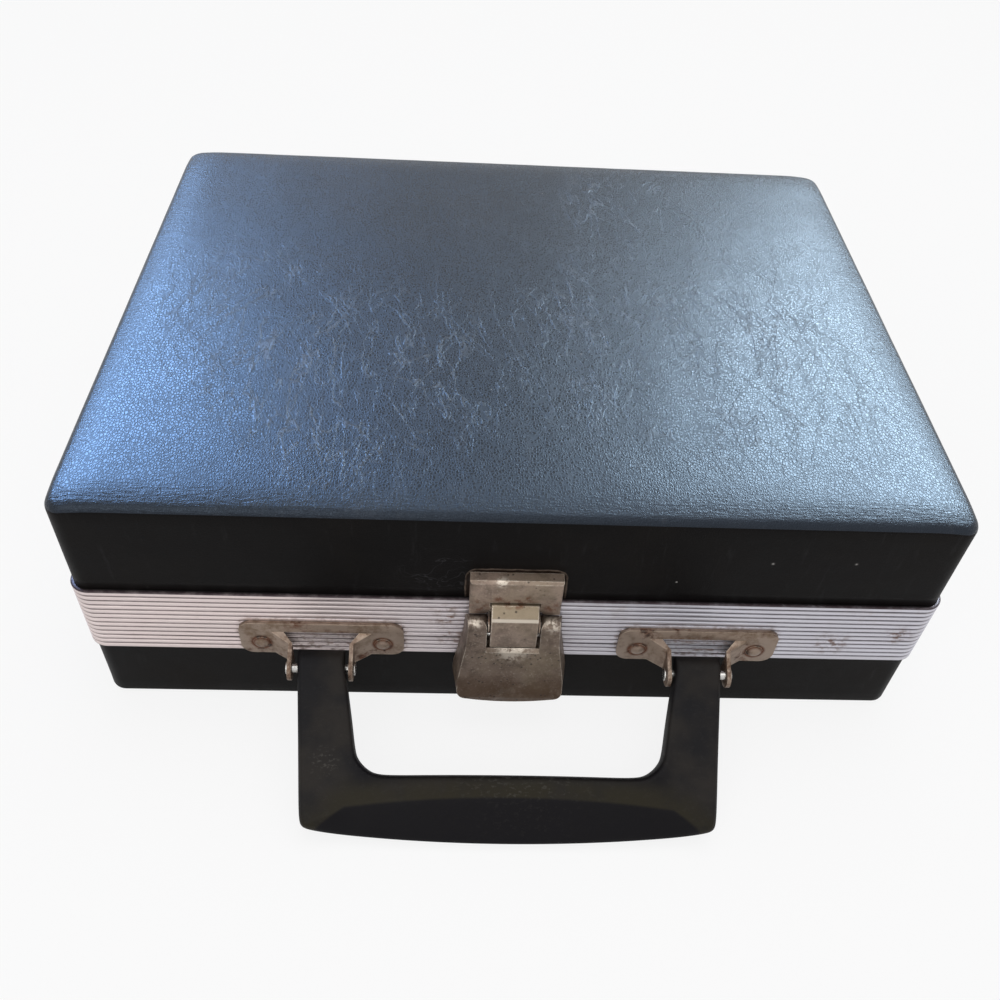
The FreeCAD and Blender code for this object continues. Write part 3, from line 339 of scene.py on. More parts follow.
def bandMaterial():
    look = bandLook
    made, tree, shader, place = startMaterial("bandMetal", look["warm"], 0.42, 0.8)
    parts = splitPlace(tree, place)
    low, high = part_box("rim_band")
    pitch = (high.z - low.z) / look["ribs"]
    turns = times(tree, minus(tree, parts[2], low.z), 1 / pitch)
    fromGroove = times(tree, calc(tree, "PINGPONG", turns, 0.5), pitch)
    grooves = smoothMask(tree, fromGroove, 0.85 * look["grooveWide"], 0.35 * look["grooveWide"])
    # painted reflection: the band is tinted pinkish on the left and bluish on the right
    paintedReflectionTint = smoothMask(tree, parts[0], -0.10, 0.06)
    color = mixColor(tree, paintedReflectionTint, look["warm"], look["cool"])
    streaks = noiseAt(tree, stretched(tree, place, (9, 9, 900)), 1.0, 4, 0.65)
    mottled = noiseAt(tree, place, 90, 5, 0.65)
    color = mixColor(tree, smoothMask(tree, streaks, 0.40, 0.75, 0.0, 0.35), color, look["streak"])
    color = mixColor(tree, smoothMask(tree, mottled, 0.55, 0.80, 0.0, 0.45), color, look["mottle"])
    # painted shade: the grooves between the ribs are painted dark, a little patchy
    paintedRibShade = times(tree, grooves, patchy(tree, place, (160, 4, 0.7), 0.2, 0.6, 0.80, 1.0))
    color = mixColor(tree, paintedRibShade, color, look["paintedGrooveShade"])
    # brown stains by the latch, beside the right bracket and round the brackets' outlines
    stainNoise = patchy(tree, stretched(tree, place, (1, 1, 1.7)), (260, 5, 0.7), 0.47, 0.62)
    total = spotsAt(tree, place, look["stainSpots"], 0.15)
    for node in ("handle_bracket_left", "handle_bracket_right"):
        boxLow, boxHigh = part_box(node)
        centre = ((boxLow.x + boxHigh.x) / 2, 0, look["plateUp"])
        away = frontBoxDistance(tree, place, centre, ((boxHigh.x - boxLow.x) / 2, look["plateHalf"]), 4.5 * mm)
        total = larger(tree, total, smoothMask(tree, away, 2.2 * mm, 0.1 * mm, 0.0, 0.7))
    front = calc(tree, "LESS_THAN", parts[1], 0.0)
    stains = times(tree, times(tree, total, stainNoise), front)
    color = mixColor(tree, times(tree, stains, 0.8), color, look["stain"])
    roughness = plus(tree, 0.36, times(tree, streaks, 0.16))
    roughness = plus(tree, roughness, times(tree, stains, 0.3))
    normal = bumpOn(tree, mottled, 0.12 * mm, 0.4)
    normal = bumpOn(tree, streaks, 0.03 * mm, 0.5, normal)
    connect(tree, shader, color, normal, roughness, minus(tree, 0.8, times(tree, stains, 0.7)))
    return made


# cast latch metal, bracket steel, pins
latchLook = {
    "face": (0.320, 0.240, 0.190, 1), "dull": (0.185, 0.136, 0.106, 1), "pit": (0.030, 0.022, 0.018, 1),
    "olive": (0.28, 0.225, 0.150, 1), "rust": (0.13, 0.042, 0.018, 1), "worn": (0.72, 0.64, 0.54, 1),
    "leverFace": (0.185, 0.138, 0.110, 1), "leverDull": (0.105, 0.076, 0.058, 1),
    # the latch's grime tone is partly grime and partly painted shade, low on the keeper
    "foot": (0.072, 0.038, 0.018, 1), "grime": (0.020, 0.010, 0.006, 1),
}


def castMaterial(name, face, dull, footTone=0.0, oliveFrom=None, rustSpots=(), wearAndHighlightSpots=(),
                 shadeAndGrimeLow=None, paintedBrowHighlight=None, wear=1.0):
    look = latchLook
    made, tree, shader, place = startMaterial(name, look[face], 0.45, 0.5, 0.4)
    parts = splitPlace(tree, place)
    mottled = noiseAt(tree, place, 170, 6, 0.70)
    color = mixColor(tree, smoothMask(tree, mottled, 0.40, 0.66), look[face], look[dull])
    sand = noiseAt(tree, place, 1150, 3, 0.65)
    color = mixColor(tree, smoothMask(tree, sand, 0.52, 0.72, 0.0, 0.40), color, look[dull])
    color = mixColor(tree, smoothMask(tree, sand, 0.46, 0.28, 0.0, 0.22), color, look["worn"])
    broad = patchy(tree, place, (45, 3, 0.6), 0.42, 0.70, 0.0, 0.4)
    color = mixColor(tree, broad, color, look["olive"])
    if oliveFrom is not None:
        olive = smoothMask(tree, parts[2], oliveFrom - 0.5 * mm, oliveFrom + 0.5 * mm, 0.0, 0.8)
        color = mixColor(tree, olive, color, look["olive"])
    if footTone:
        foot = smoothMask(tree, parts[2], 40 * mm, 21 * mm, 0.0, footTone)
        foot = times(tree, foot, patchy(tree, place, (110, 4, 0.65), 0.28, 0.56))
        color = mixColor(tree, foot, color, look["foot"])
    pits = cellsAt(tree, place, 640)
    chosen = splitPlace(tree, pits["Color"])[1]
    pitPatch = patchy(tree, place, (95, 2, 0.5), 0.45, 0.62, 0.50, 0.98)
    chosen = calc(tree, "GREATER_THAN", plus(tree, chosen, times(tree, pitPatch, 0.35)), 1.0)
    holes = times(tree, smoothMask(tree, pits["Distance"], 0.36, 0.14), chosen)
    color = mixColor(tree, times(tree, holes, 0.75), color, look["pit"])
    worn = times(tree, wornEdges(tree, 0.55 * mm, 0.004, 0.05), patchy(tree, place, (210, 3, 0.6), 0.34, 0.56))
    # listed spots: worn patches, and on the lever partly painted highlights
    near = times(tree, spotsAt(tree, place, wearAndHighlightSpots, 0.3), patchy(tree, place, (520, 4, 0.65), 0.40, 0.56))
    worn = larger(tree, worn, near)
    # painted highlight: a pale line along the claw's brow edge, mixed in with the worn colour, stands in for the
    # light the edge catches
    if paintedBrowHighlight is not None:
        line = smoothMask(tree, unsigned(tree, minus(tree, parts[2], paintedBrowHighlight)), 0.80 * mm, 0.35 * mm)
        line = times(tree, line, smoothMask(tree, mottled, 0.2, 0.5, 0.45, 0.8))
        worn = larger(tree, worn, line)
    color = mixColor(tree, times(tree, worn, 0.85 * wear), color, look["worn"])
    rustNoise = patchy(tree, place, (430, 5, 0.7), 0.42, 0.58)
    rusty = 0.0
    for centre, reach, stretch in rustSpots:
        near = vectorCalc(tree, "LENGTH", stretched(tree, vectorCalc(tree, "SUBTRACT", place, centre), stretch))
        rusty = larger(tree, rusty, smoothMask(tree, near, reach, reach * 0.2))
    # partly grime, partly painted shade: the keeper is darkened low in the middle, behind the claw and between the
    # lever's ears
    if shadeAndGrimeLow is not None:
        low = smoothMask(tree, parts[2], shadeAndGrimeLow + 4.2 * mm, shadeAndGrimeLow + 0.6 * mm)
        inner = smoothMask(tree, unsigned(tree, parts[0]), 15.5 * mm, 12 * mm)
        color = mixColor(tree, times(tree, times(tree, low, inner), 0.85), color, look["grime"])
    if rustSpots:
        rusty = times(tree, rusty, rustNoise)
        color = mixColor(tree, times(tree, rusty, 0.8), color, look["rust"])
    roughness = plus(tree, 0.36, times(tree, mottled, 0.26))
    roughness = minus(tree, roughness, times(tree, worn, 0.14))
    normal = bumpOn(tree, mottled, 0.22 * mm, 0.45)
    normal = bumpOn(tree, minus(tree, 1.0, holes), 0.12 * mm, 0.8, normal)
    normal = bumpOn(tree, sand, 0.06 * mm, 0.6, normal)
    connect(tree, shader, color, normal, roughness)
    return made


bracketLook = {
    "steel": (0.27, 0.205, 0.160, 1), "brown": (0.150, 0.098, 0.062, 1), "rust": (0.105, 0.034, 0.013, 1),
    "dark": (0.020, 0.011, 0.007, 1), "worn": (0.46, 0.38, 0.29, 1), "bracketAt": 67.5 * mm,
    "rivetUp": 37.0 * mm, "rivetApart": 21.5 * mm, "rivetRadius": 3.1 * mm,
}


def bracketMaterial(name, withRings=True):
    look = bracketLook
    made, tree, shader, place = startMaterial(name, look["steel"], 0.5, 0.55)
    parts = splitPlace(tree, place)
    mottled = noiseAt(tree, place, 210, 6, 0.7)
    color = mixColor(tree, smoothMask(tree, mottled, 0.42, 0.70), look["steel"], look["brown"])
    patches = patchy(tree, place, (120, 4, 0.65), 0.52, 0.68)
    rusty = times(tree, patches, smoothMask(tree, mottled, 0.40, 0.58))
    if withRings:
        across = minus(tree, unsigned(tree, parts[0]), look["bracketAt"])
        toRivet = minus(tree, unsigned(tree, across), look["rivetApart"])
        up = minus(tree, parts[2], look["rivetUp"])
        far = calc(tree, "SQRT", plus(tree, times(tree, toRivet, toRivet), times(tree, up, up)))
        fromHead = unsigned(tree, minus(tree, far, look["rivetRadius"]))
        ring = smoothMask(tree, fromHead, 1.3 * mm, 0.15 * mm)
        ring = times(tree, ring, patchy(tree, place, (260, 3, 0.6), 0.2, 0.5, 0.55, 1.0))
        bar = times(tree, smoothMask(tree, unsigned(tree, across), 15 * mm, 5 * mm),
                    smoothMask(tree, parts[2], 45.5 * mm, 42.6 * mm))
        bar = times(tree, bar, patchy(tree, place, (420, 4, 0.7), 0.42, 0.54))
        rusty = larger(tree, rusty, larger(tree, ring, bar))
    color = mixColor(tree, rusty, color, look["rust"])
    deepest = times(tree, rusty, patchy(tree, place, (420, 3, 0.6), 0.50, 0.66))
    color = mixColor(tree, deepest, color, look["dark"])
    worn = times(tree, wornEdges(tree, 0.4 * mm, 0.01, 0.09), patchy(tree, place, (240, 3, 0.6), 0.38, 0.56))
    color = mixColor(tree, times(tree, worn, 0.75), color, look["worn"])
    normal = bumpOn(tree, mottled, 0.16 * mm, 0.5)
    normal = bumpOn(tree, rusty, 0.10 * mm, 0.6, normal)
    connect(tree, shader, color, normal, plus(tree, 0.40, times(tree, rusty, 0.35)),
            minus(tree, 0.62, times(tree, rusty, 0.5)))
    return made


def brightSteelMaterial(name, tone=(0.55, 0.54, 0.52, 1), rustAmount=0.35):
    made, tree, shader, place = startMaterial(name, tone, 0.3, 0.9)
    spots = patchy(tree, place, (420, 5, 0.7), 0.52, 0.70, 0.0, rustAmount)
    grey = mixColor(tree, patchy(tree, place, (190, 4, 0.6), 0.4, 0.7), tone, (0.30, 0.28, 0.26, 1))
    color = mixColor(tree, spots, grey, (0.14, 0.065, 0.03, 1))
    rings = noiseAt(tree, stretched(tree, place, (1400, 60, 60)), 1.0, 2, 0.5)
    connect(tree, shader, color, bumpOn(tree, rings, 0.02 * mm, 0.4), plus(tree, 0.26, times(tree, spots, 0.5)))
    return made


# handle plastic, tray plastic, wood, lining and foam
handleLook = {
    # olive is the painted sheen of the crest, dark the painted shade beyond the ridge and in the opening
    "base": (0.0085, 0.0080, 0.0092, 1), "olive": (0.0205, 0.0172, 0.0105, 1),
    "dusty": (0.022, 0.019, 0.017, 1), "scuff": (0.115, 0.108, 0.098, 1), "dark": (0.0022, 0.0018, 0.0034, 1),
    "ridgeAt": -169.1 * mm, "ridgeBow": 0.81, "ridgeCorner": 56.5 * mm, "ridgeTurn": 0.45,
    "speck": (0.30, 0.29, 0.27, 1), "strapScuff": (-0.0640, -0.156, 0.016), "crestScuff": (0.005, -0.161, 0.016),
}


def handleMaterial():
    look = handleLook
    made, tree, shader, place = startMaterial("handlePlastic", look["base"], 0.55, 0.0, 0.12)
    parts = splitPlace(tree, place)
    color = mixColor(tree, patchy(tree, place, (38, 3, 0.6), 0.40, 0.66), look["base"], look["dusty"])
    # painted light: an olive sheen painted along the crest, and painted shade on the facet beyond the ridge and in
    # the opening
    sideways = unsigned(tree, parts[0])
    bow = times(tree, times(tree, sideways, sideways), look["ridgeBow"])
    pastCorner = larger(tree, minus(tree, sideways, look["ridgeCorner"]), 0.0)
    bow = plus(tree, bow, times(tree, pastCorner, look["ridgeTurn"]))
    along = plus(tree, parts[1], bow)
    paintedCrestSheen = smoothMask(tree, along, look["ridgeAt"] + 11 * mm, look["ridgeAt"] + 1.5 * mm)
    paintedFacetShade = smoothMask(tree, along, look["ridgeAt"] + 0.5 * mm, look["ridgeAt"] - 0.5 * mm)
    paintedOpeningShade = times(tree, smoothMask(tree, sideways, 58 * mm, 50 * mm),
                      smoothMask(tree, along, look["ridgeAt"] + 3.5 * mm, look["ridgeAt"] + 9 * mm))
    worn = times(tree, patchy(tree, place, (62, 5, 0.66), 0.54, 0.76), 0.5)
    color = mixColor(tree, worn, color, look["dusty"])
    paintedCrestSheen = times(tree, paintedCrestSheen, patchy(tree, place, (70, 3, 0.6), 0.25, 0.6, 0.35))
    color = mixColor(tree, paintedCrestSheen, color, look["olive"])
    color = mixColor(tree, times(tree, paintedOpeningShade, 0.85), color, look["dark"])
    color = mixColor(tree, times(tree, paintedFacetShade, 0.93), color, look["dark"])
    # pale scuffs low on the left strap, a few on the crest
    left = smoothMask(tree, vectorCalc(tree, "DISTANCE", place, look["strapScuff"]), 9 * mm, 3 * mm)
    middle = vectorCalc(tree, "DISTANCE", place, look["crestScuff"])
    middle = smoothMask(tree, middle, 30 * mm, 8 * mm, 0.0, 0.28)
    strands = noiseAt(tree, stretched(tree, place, (520, 900, 520)), 1.0, 4, 0.7)
    scratches = times(tree, smoothMask(tree, strands, 0.54, 0.64), plus(tree, 0.05, larger(tree, left, middle)))
    scratches = times(tree, scratches, minus(tree, 0.65, times(tree, paintedFacetShade, 0.5)))
    color = mixColor(tree, scratches, color, look["scuff"])
    dust = specksAt(tree, place, 170, 0.06, 0.03, 0.84)
    color = mixColor(tree, times(tree, dust, 0.5), color, look["speck"])
    roughness = plus(tree, 0.44, times(tree, noiseAt(tree, place, 75, 5, 0.6), 0.22))
    normal = bumpOn(tree, noiseAt(tree, place, 1900, 2, 0.5), 0.05 * mm, 0.6)
    normal = bumpOn(tree, noiseAt(tree, place, 90, 3, 0.5), 0.3 * mm, 0.35, normal)
    connect(tree, shader, color, normal, roughness)
    return made


def trayMaterial():
    made, tree, shader, place = startMaterial("trayPlastic", (0.022, 0.022, 0.025, 1), 0.5, 0.0, 0.4)
    cloudy = patchy(tree, place, (55, 4, 0.6), 0.45, 0.75)
    color = mixColor(tree, cloudy, (0.020, 0.020, 0.023, 1), (0.038, 0.038, 0.041, 1))
    rubs = times(tree, wornEdges(tree, 0.4 * mm, 0.01, 0.12), patchy(tree, place, (130, 3, 0.6), 0.45, 0.6))
    color = mixColor(tree, times(tree, rubs, 0.5), color, (0.11, 0.11, 0.115, 1))
    normal = bumpOn(tree, noiseAt(tree, place, 1300, 2, 0.5), 0.04 * mm, 0.6)
    connect(tree, shader, color, normal, plus(tree, 0.42, times(tree, cloudy, 0.18)))
    return made


def shellMaterial(name, rimZ):
    # plywood inside; where it meets the other half the cloth is turned over its edge
    made, tree, shader, place = startMaterial(name, (0.42, 0.29, 0.17, 1), 0.65)
    parts = splitPlace(tree, place)
    fibres = noiseAt(tree, stretched(tree, place, (14, 260, 260)), 1.0, 5, 0.65)
    wood = mixColor(tree, fibres, (0.50, 0.36, 0.21, 1), (0.26, 0.16, 0.085, 1))
    plies = calc(tree, "PINGPONG", times(tree, parts[2], 1 / (1.1 * mm)), 1.0)
    wood = mixColor(tree, times(tree, plies, 0.25), wood, (0.20, 0.12, 0.06, 1))
    turned = smoothMask(tree, unsigned(tree, minus(tree, parts[2], rimZ)), 0.6 * mm, 0.4 * mm)
    grain = cellsAt(tree, place, 1 / leatherLook["grain"], "DISTANCE_TO_EDGE")["Distance"]
    grain = smoothMask(tree, grain, 0.0, 0.22)
    color = mixColor(tree, turned, wood, (0.012, 0.012, 0.014, 1))
    connect(tree, shader, color, bumpOn(tree, plus(tree, grain, fibres), 0.08 * mm, 0.6))
    return made


def liningMaterial():
    made, tree, shader, place = startMaterial("liningSheet", (0.05, 0.05, 0.055, 1), 0.85, 0.0, 0.25)
    pulp = noiseAt(tree, place, 900, 4, 0.7)
    color = mixColor(tree, pulp, (0.040, 0.040, 0.045, 1), (0.085, 0.085, 0.09, 1))
    faded = patchy(tree, place, (22, 3, 0.6), 0.45, 0.75, 0.0, 0.4)
    color = mixColor(tree, faded, color, (0.12, 0.115, 0.11, 1))
    connect(tree, shader, color, bumpOn(tree, pulp, 0.07 * mm, 0.7))
    return made


def foamMaterial():
    made, tree, shader, place = startMaterial("darkFoam", (0.045, 0.045, 0.048, 1), 0.95, 0.0, 0.2)
    shader.inputs["Sheen Weight"].default_value = 0.25
    pores = cellsAt(tree, place, 1500)["Distance"]
    wide = patchy(tree, place, (30, 3, 0.6), 0.4, 0.7)
    color = mixColor(tree, smoothMask(tree, pores, 0.1, 0.6), (0.018, 0.018, 0.02, 1), (0.075, 0.075, 0.08, 1))
    color = mixColor(tree, times(tree, wide, 0.3), color, (0.10, 0.095, 0.085, 1))
    connect(tree, shader, color, bumpOn(tree, pores, 0.2 * mm, 0.9))
    return made


topLeather = topLeatherMaterial()
lidLeather = sideLeatherMaterial("lidSideLeathercloth", True)
baseLeather = sideLeatherMaterial("baseLeathercloth", False)
bandMetal = bandMaterial()
keeperMetal = castMaterial("keeperMetal", "face", "dull", shadeAndGrimeLow=57.5 * mm,
                           rustSpots=(((0, -0.1226, 0.0650), 0.0022, (0.22, 0.4, 1.0)),
                                      ((-0.0125, -0.1226, 0.0625), 0.005, (1, 1, 1)),
                                      ((0.0125, -0.1226, 0.0625), 0.0045, (1, 1, 1)),
                                      ((-0.006, -0.1226, 0.0665), 0.0022, (1, 1, 1)),
                                      ((0.004, -0.1226, 0.0668), 0.0025, (1, 1, 1))),
                           wearAndHighlightSpots=(((-0.005, -0.1220, 0.0748), 0.003),))
# the claw's brow line is a painted highlight
clawMetal = castMaterial("clawMetal", "face", "dull", oliveFrom=61.0 * mm, paintedBrowHighlight=60.4 * mm,
                         rustSpots=(((0, -0.1236, 0.0644), 0.0016, (0.2, 0.6, 1.0)),), wear=1.15)
# the lever's spots are partly wear and partly painted highlights on the rounded ear tops and the upper face
leverMetal = castMaterial("leverMetal", "leverFace", "leverDull", footTone=0.8, wear=0.75,
                          wearAndHighlightSpots=(((-0.0135, -0.1250, 0.0562), 0.0032), ((0.0135, -0.1250, 0.0560), 0.0042),
                                     ((0.0, -0.1272, 0.0440), 0.0075)))
plateMetal = castMaterial("latchPlateMetal", "face", "dull",
                          rustSpots=(((0, -0.1202, 0.056), 0.02, (1, 1, 1)),))
bracketMetal = bracketMaterial("bracketSteel")
hingeMetal = bracketMaterial("hingeSteel", withRings=False)
rivetMetal = bracketMaterial("rivetSteel")
pinSteel = brightSteelMaterial("pinSteel")
studSteel = brightSteelMaterial("studSteel", (0.40, 0.37, 0.33, 1), 0.6)
handlePlastic = handleMaterial()
trayPlastic = trayMaterial()
liningSheet = liningMaterial()
darkFoam = foamMaterial()
lidWood = shellMaterial("lidPlywood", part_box("lid_shell")[0].z)
baseWood = shellMaterial("basePlywood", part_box("base_shell")[1].z)
print("materials made:", len(bpy.data.materials))


# pieces that keep the shape of their node, with softened edges
edgeLimits = {"merge": 0.002 * mm, "flat": math.radians(0.6), "sharp": math.radians(32)}


def finishPiece(shape, name, material, node):
    for face in shape.faces:
        face.smooth = True
    mesh = bpy.data.meshes.new(name)
    shape.to_mesh(mesh)
    shape.free()
    mesh.materials.append(material)
    piece = bpy.data.objects.new(name, mesh)
    bpy.context.scene.collection.objects.link(piece)
    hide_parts(node)
    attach(piece, bodyOf[node])
    return piece


def softenedCopy(nodeName, pieceName, material, width):
    limits = edgeLimits
    shape = bmesh.new()
    shape.from_mesh(frame["nodes"][nodeName].data)
    bmesh.ops.remove_doubles(shape, verts=shape.verts, dist=limits["merge"])
    bmesh.ops.dissolve_limit(shape, angle_limit=limits["flat"], verts=shape.verts, edges=shape.edges)
    piece = finishPiece(shape, pieceName, material, nodeName)
    edge = piece.modifiers.new("softEdges", "BEVEL")
    edge.width = width
    edge.segments = 2
    edge.limit_method = "ANGLE"
    edge.angle_limit = limits["sharp"]
    edge.harden_normals = True
    return piece


softened = {  # node: finish, edge rounding in mm
    "handle_bracket_left": (bracketMetal, 0.3),
    "handle_bracket_right": (bracketMetal, 0.3),
    "bracket_rivets": (rivetMetal, 0.12),
    "handle_pin_left": (pinSteel, 0.25),
    "handle_pin_right": (pinSteel, 0.25),
    "latch_base_plate": (plateMetal, 0.15),
    "latch_plate_rivets": (studSteel, 0.1),
    "latch_pivot_left": (pinSteel, 0.15),
    "latch_pivot_right": (pinSteel, 0.15),
    "latch_lever": (leverMetal, 0.55),
    "claw_pin": (pinSteel, 0.1),
    "latch_claw": (clawMetal, 0.3),
    "latch_keeper": (keeperMetal, 0.45),
    "keeper_rivets": (studSteel, 0.1),
    "cassette_tray": (trayPlastic, 0.35),
    "tray_dividers": (trayPlastic, 0.3),
    "hinge_base_leaf_left": (hingeMetal, 0.2),
    "hinge_base_leaf_right": (hingeMetal, 0.2),
    "hinge_lid_leaf_left": (hingeMetal, 0.2),
    "hinge_lid_leaf_right": (hingeMetal, 0.2),
    "hinge_pin_left": (pinSteel, 0.2),
    "hinge_pin_right": (pinSteel, 0.2),
    "hinge_base_rivets": (studSteel, 0.1),
    "hinge_lid_rivets": (studSteel, 0.1),
    "rim_band": (bandMetal, 0.1),
}
for nodeName, (material, width) in softened.items():
    first, *others = nodeName.split("_")
    softenedCopy(nodeName, first + "".join(word.title() for word in others), material, width * mm)
for nodeName, material in (("lid_shell", lidWood), ("base_shell", baseWood), ("lid_lining", liningSheet)):
    frame["nodes"][nodeName].data.materials.clear()
    frame["nodes"][nodeName].data.materials.append(material)
print("hard pieces softened:", len(softened))


# leathercloth over the lid and the base
clothSizes = {
    "cornerRadius": 6.0 * mm, "rollRadius": 3.0 * mm, "rollSegments": 5, "cornerSegments": 8,
    "thickness": 0.8 * mm, "step": 5.0 * mm, "swell": 0.5 * mm, "uneven": 0.14 * mm, "baseRoll": 2.4 * mm,
    "fall": 1.5 * mm, "fallRun": 16.0 * mm, "turn": 17.0 * mm, "rimCuts": (2 * mm, 5 * mm, 8 * mm),
    "bareLow": 4 * mm, "bareHigh": 29 * mm, "hollow": 0.3 * mm, "underMargin": 9 * mm, "underThick": 0.55 * mm,
}


def roundOff(shape, edges, radius, segments):
    bmesh.ops.bevel(shape, geom=edges, offset=radius, offset_type="OFFSET", segments=segments,
                    profile=0.5, affect="EDGES", material=-1)


def roundedBox(low, high, cornerRadius, cornerSegments):
    shape = bmesh.new()
    bmesh.ops.create_cube(shape, size=1)
    bmesh.ops.scale(shape, vec=high - low, verts=shape.verts)
    bmesh.ops.translate(shape, vec=(low + high) / 2, verts=shape.verts)
    upright = [e for e in shape.edges if abs(e.verts[0].co.z - e.verts[1].co.z) > cornerRadius]
    roundOff(shape, upright, cornerRadius, cornerSegments)
    shape.normal_update()
    return shape


def rollLoop(shape, z, radius, segments):
    loop = [e for e in shape.edges if all(abs(v.co.z - z) < 0.01 * mm for v in e.verts)
            and len(e.link_faces) == 2 and abs(e.link_faces[0].normal.z - e.link_faces[1].normal.z) > 0.5]
    roundOff(shape, loop, radius, segments)


def cutAcross(shape, axis, places):
    direction = Vector([1.0 if n == axis else 0.0 for n in range(3)])
    for place in places:
        bmesh.ops.bisect_plane(shape, geom=shape.verts[:] + shape.edges[:] + shape.faces[:], dist=0.001 * mm,
                               plane_co=direction * place, plane_no=direction)


def evenPlaces(low, high, step):
    count = max(2, round((high - low) / step))
    return [low + (high - low) * n / count for n in range(1, count)]


def cutEvenly(shape, low, high, margin, step):
    for axis in (0, 1):
        cutAcross(shape, axis, evenPlaces(low[axis] + margin, high[axis] - margin, step))


def thicken(piece):
    wall = piece.modifiers.new("clothWall", "SOLIDIFY")
    wall.thickness = clothSizes["thickness"]
    wall.offset = -1


def makeLidCloth():
    low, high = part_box("lid_cover")
    size = clothSizes
    shape = roundedBox(low, high, size["cornerRadius"], size["cornerSegments"])
    rollLoop(shape, high.z, size["rollRadius"], size["rollSegments"])
    under = [f for f in shape.faces if f.normal.z < -0.9]
    bmesh.ops.delete(shape, geom=under, context="FACES")
    inset = size["cornerRadius"]
    border = [*size["rimCuts"], size["turn"] - inset]
    for axis, reach in ((0, high.x - inset), (1, high.y - inset)):
        inner = reach - border[-1]
        cutAcross(shape, axis, evenPlaces(-inner, inner, size["step"]))
        cutAcross(shape, axis, [side * (reach - b) for side in (-1, 1) for b in border])
    cutAcross(shape, 2, evenPlaces(low.z, high.z - size["rollRadius"], size["step"]))
    # the top falls along an arc of this radius towards its edges
    curve = (size["fallRun"] ** 2 + size["fall"] ** 2) / (2 * size["fall"])
    wallHigh = high.z - size["rollRadius"]
    topFaces = [f for f in shape.faces if f.calc_center_median().z > wallHigh + 0.35 * size["rollRadius"]]
    for face in topFaces:
        face.material_index = 1
    for vert in shape.verts:
        place = vert.co.copy()
        u, v = place.x / high.x, place.y / high.y
        past = Vector([max(0.0, abs(place[n]) - (high[n] - size["turn"])) for n in range(2)])
        run = max(0.0, past.length - (size["turn"] - size["fallRun"]))
        fall = curve - math.sqrt(curve ** 2 - run ** 2)
        share = min(1.0, max(0.0, (place.z - low.z) / (wallHigh - low.z)))
        vert.co.z -= fall * share
        top = max(0.0, min(1.0, (place.z - wallHigh) / size["rollRadius"]))
        vert.co.z += size["swell"] * (1 - u * u) * (1 - v * v) * top
        wave = noise.noise(place * 32.0) + 0.5 * noise.noise(place * 75.0)
        vert.co.z -= size["uneven"] * top * abs(wave)
        # long only near the walls, where it points out of them
        outward = Vector((u ** 9, v ** 9, 0))
        if outward.length > 0.2 and place.z > low.z + 2 * mm:
            vert.co -= outward.normalized() * size["uneven"] * abs(wave) * (1 - top)
    piece = finishPiece(shape, "lidCloth", lidLeather, "lid_cover")
    piece.data.materials.append(topLeather)
    thicken(piece)


def makeBaseCloth():
    low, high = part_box("base_side_cover")
    low = Vector((low.x, low.y, 0.0))
    size = clothSizes
    shape = roundedBox(low, high, size["cornerRadius"], size["cornerSegments"])
    rollLoop(shape, low.z, size["baseRoll"], 4)
    above = [f for f in shape.faces if f.normal.z > 0.9]
    bmesh.ops.delete(shape, geom=above, context="FACES")
    cutEvenly(shape, low, high, size["cornerRadius"], 2 * size["step"])
    cutAcross(shape, 2, evenPlaces(low.z + size["baseRoll"], high.z, size["step"]))
    # the walls wave a little where they show under the band, and the bottom is hollow inside its rim
    for vert in shape.verts:
        place = vert.co.copy()
        u, v = place.x / high.x, place.y / high.y
        wave = noise.noise(place * 28.0 + Vector((3, 0, 0)))
        outward = Vector((u ** 9, v ** 9, 0))
        if outward.length > 0.2 and size["bareLow"] < place.z < size["bareHigh"]:
            vert.co -= outward.normalized() * size["uneven"] * abs(wave)
        if place.z < 0.2 * mm and max(abs(u), abs(v)) < 0.96:
            vert.co.z += size["hollow"]
    piece = finishPiece(shape, "baseCloth", baseLeather, "base_side_cover")
    thicken(piece)


def makeUnderCloth():
    low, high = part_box("base_bottom_cover")
    margin = clothSizes["underMargin"]
    low = Vector((low.x + margin, low.y + margin, 0))
    high = Vector((high.x - margin, high.y - margin, clothSizes["underThick"]))
    shape = roundedBox(low, high, 0.5 * mm, 1)
    rollLoop(shape, low.z, 0.25 * mm, 2)
    cutEvenly(shape, low, high, 2 * mm, 12 * mm)
    piece = finishPiece(shape, "underCloth", baseLeather, "base_bottom_cover")
    piece.data.set_sharp_from_angle(angle=math.radians(50))


def makePad(name, node, corner, roll, crown, material):
    low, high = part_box(node)
    shape = roundedBox(low, high, corner, 5)
    rollLoop(shape, low.z, roll, 4)
    cutEvenly(shape, low, high, corner, 9 * mm)
    middle, half = (low + high) / 2, (high - low) / 2
    for vert in shape.verts:
        place = vert.co.copy()
        u, v = (place.x - middle.x) / half.x, (place.y - middle.y) / half.y
        if place.z < middle.z:
            uneven = 0.25 * mm * abs(noise.noise(place * 40.0))
            vert.co.z += crown * (1 - (1 - u ** 4) * (1 - v ** 4)) + uneven
    piece = finishPiece(shape, name, material, node)


# the layer glued under the lid's cloth keeps the form that the plywood and the cloth give it
lidPadding = softenedCopy("lid_padding", "lidPadding", darkFoam, 0.25 * mm)
makeLidCloth()
makeBaseCloth()
makeUnderCloth()
makePad("lidFoamPad", "lid_foam_pad", 3 * mm, 2.2 * mm, 0.8 * mm, darkFoam)
print("cloth and foam made")

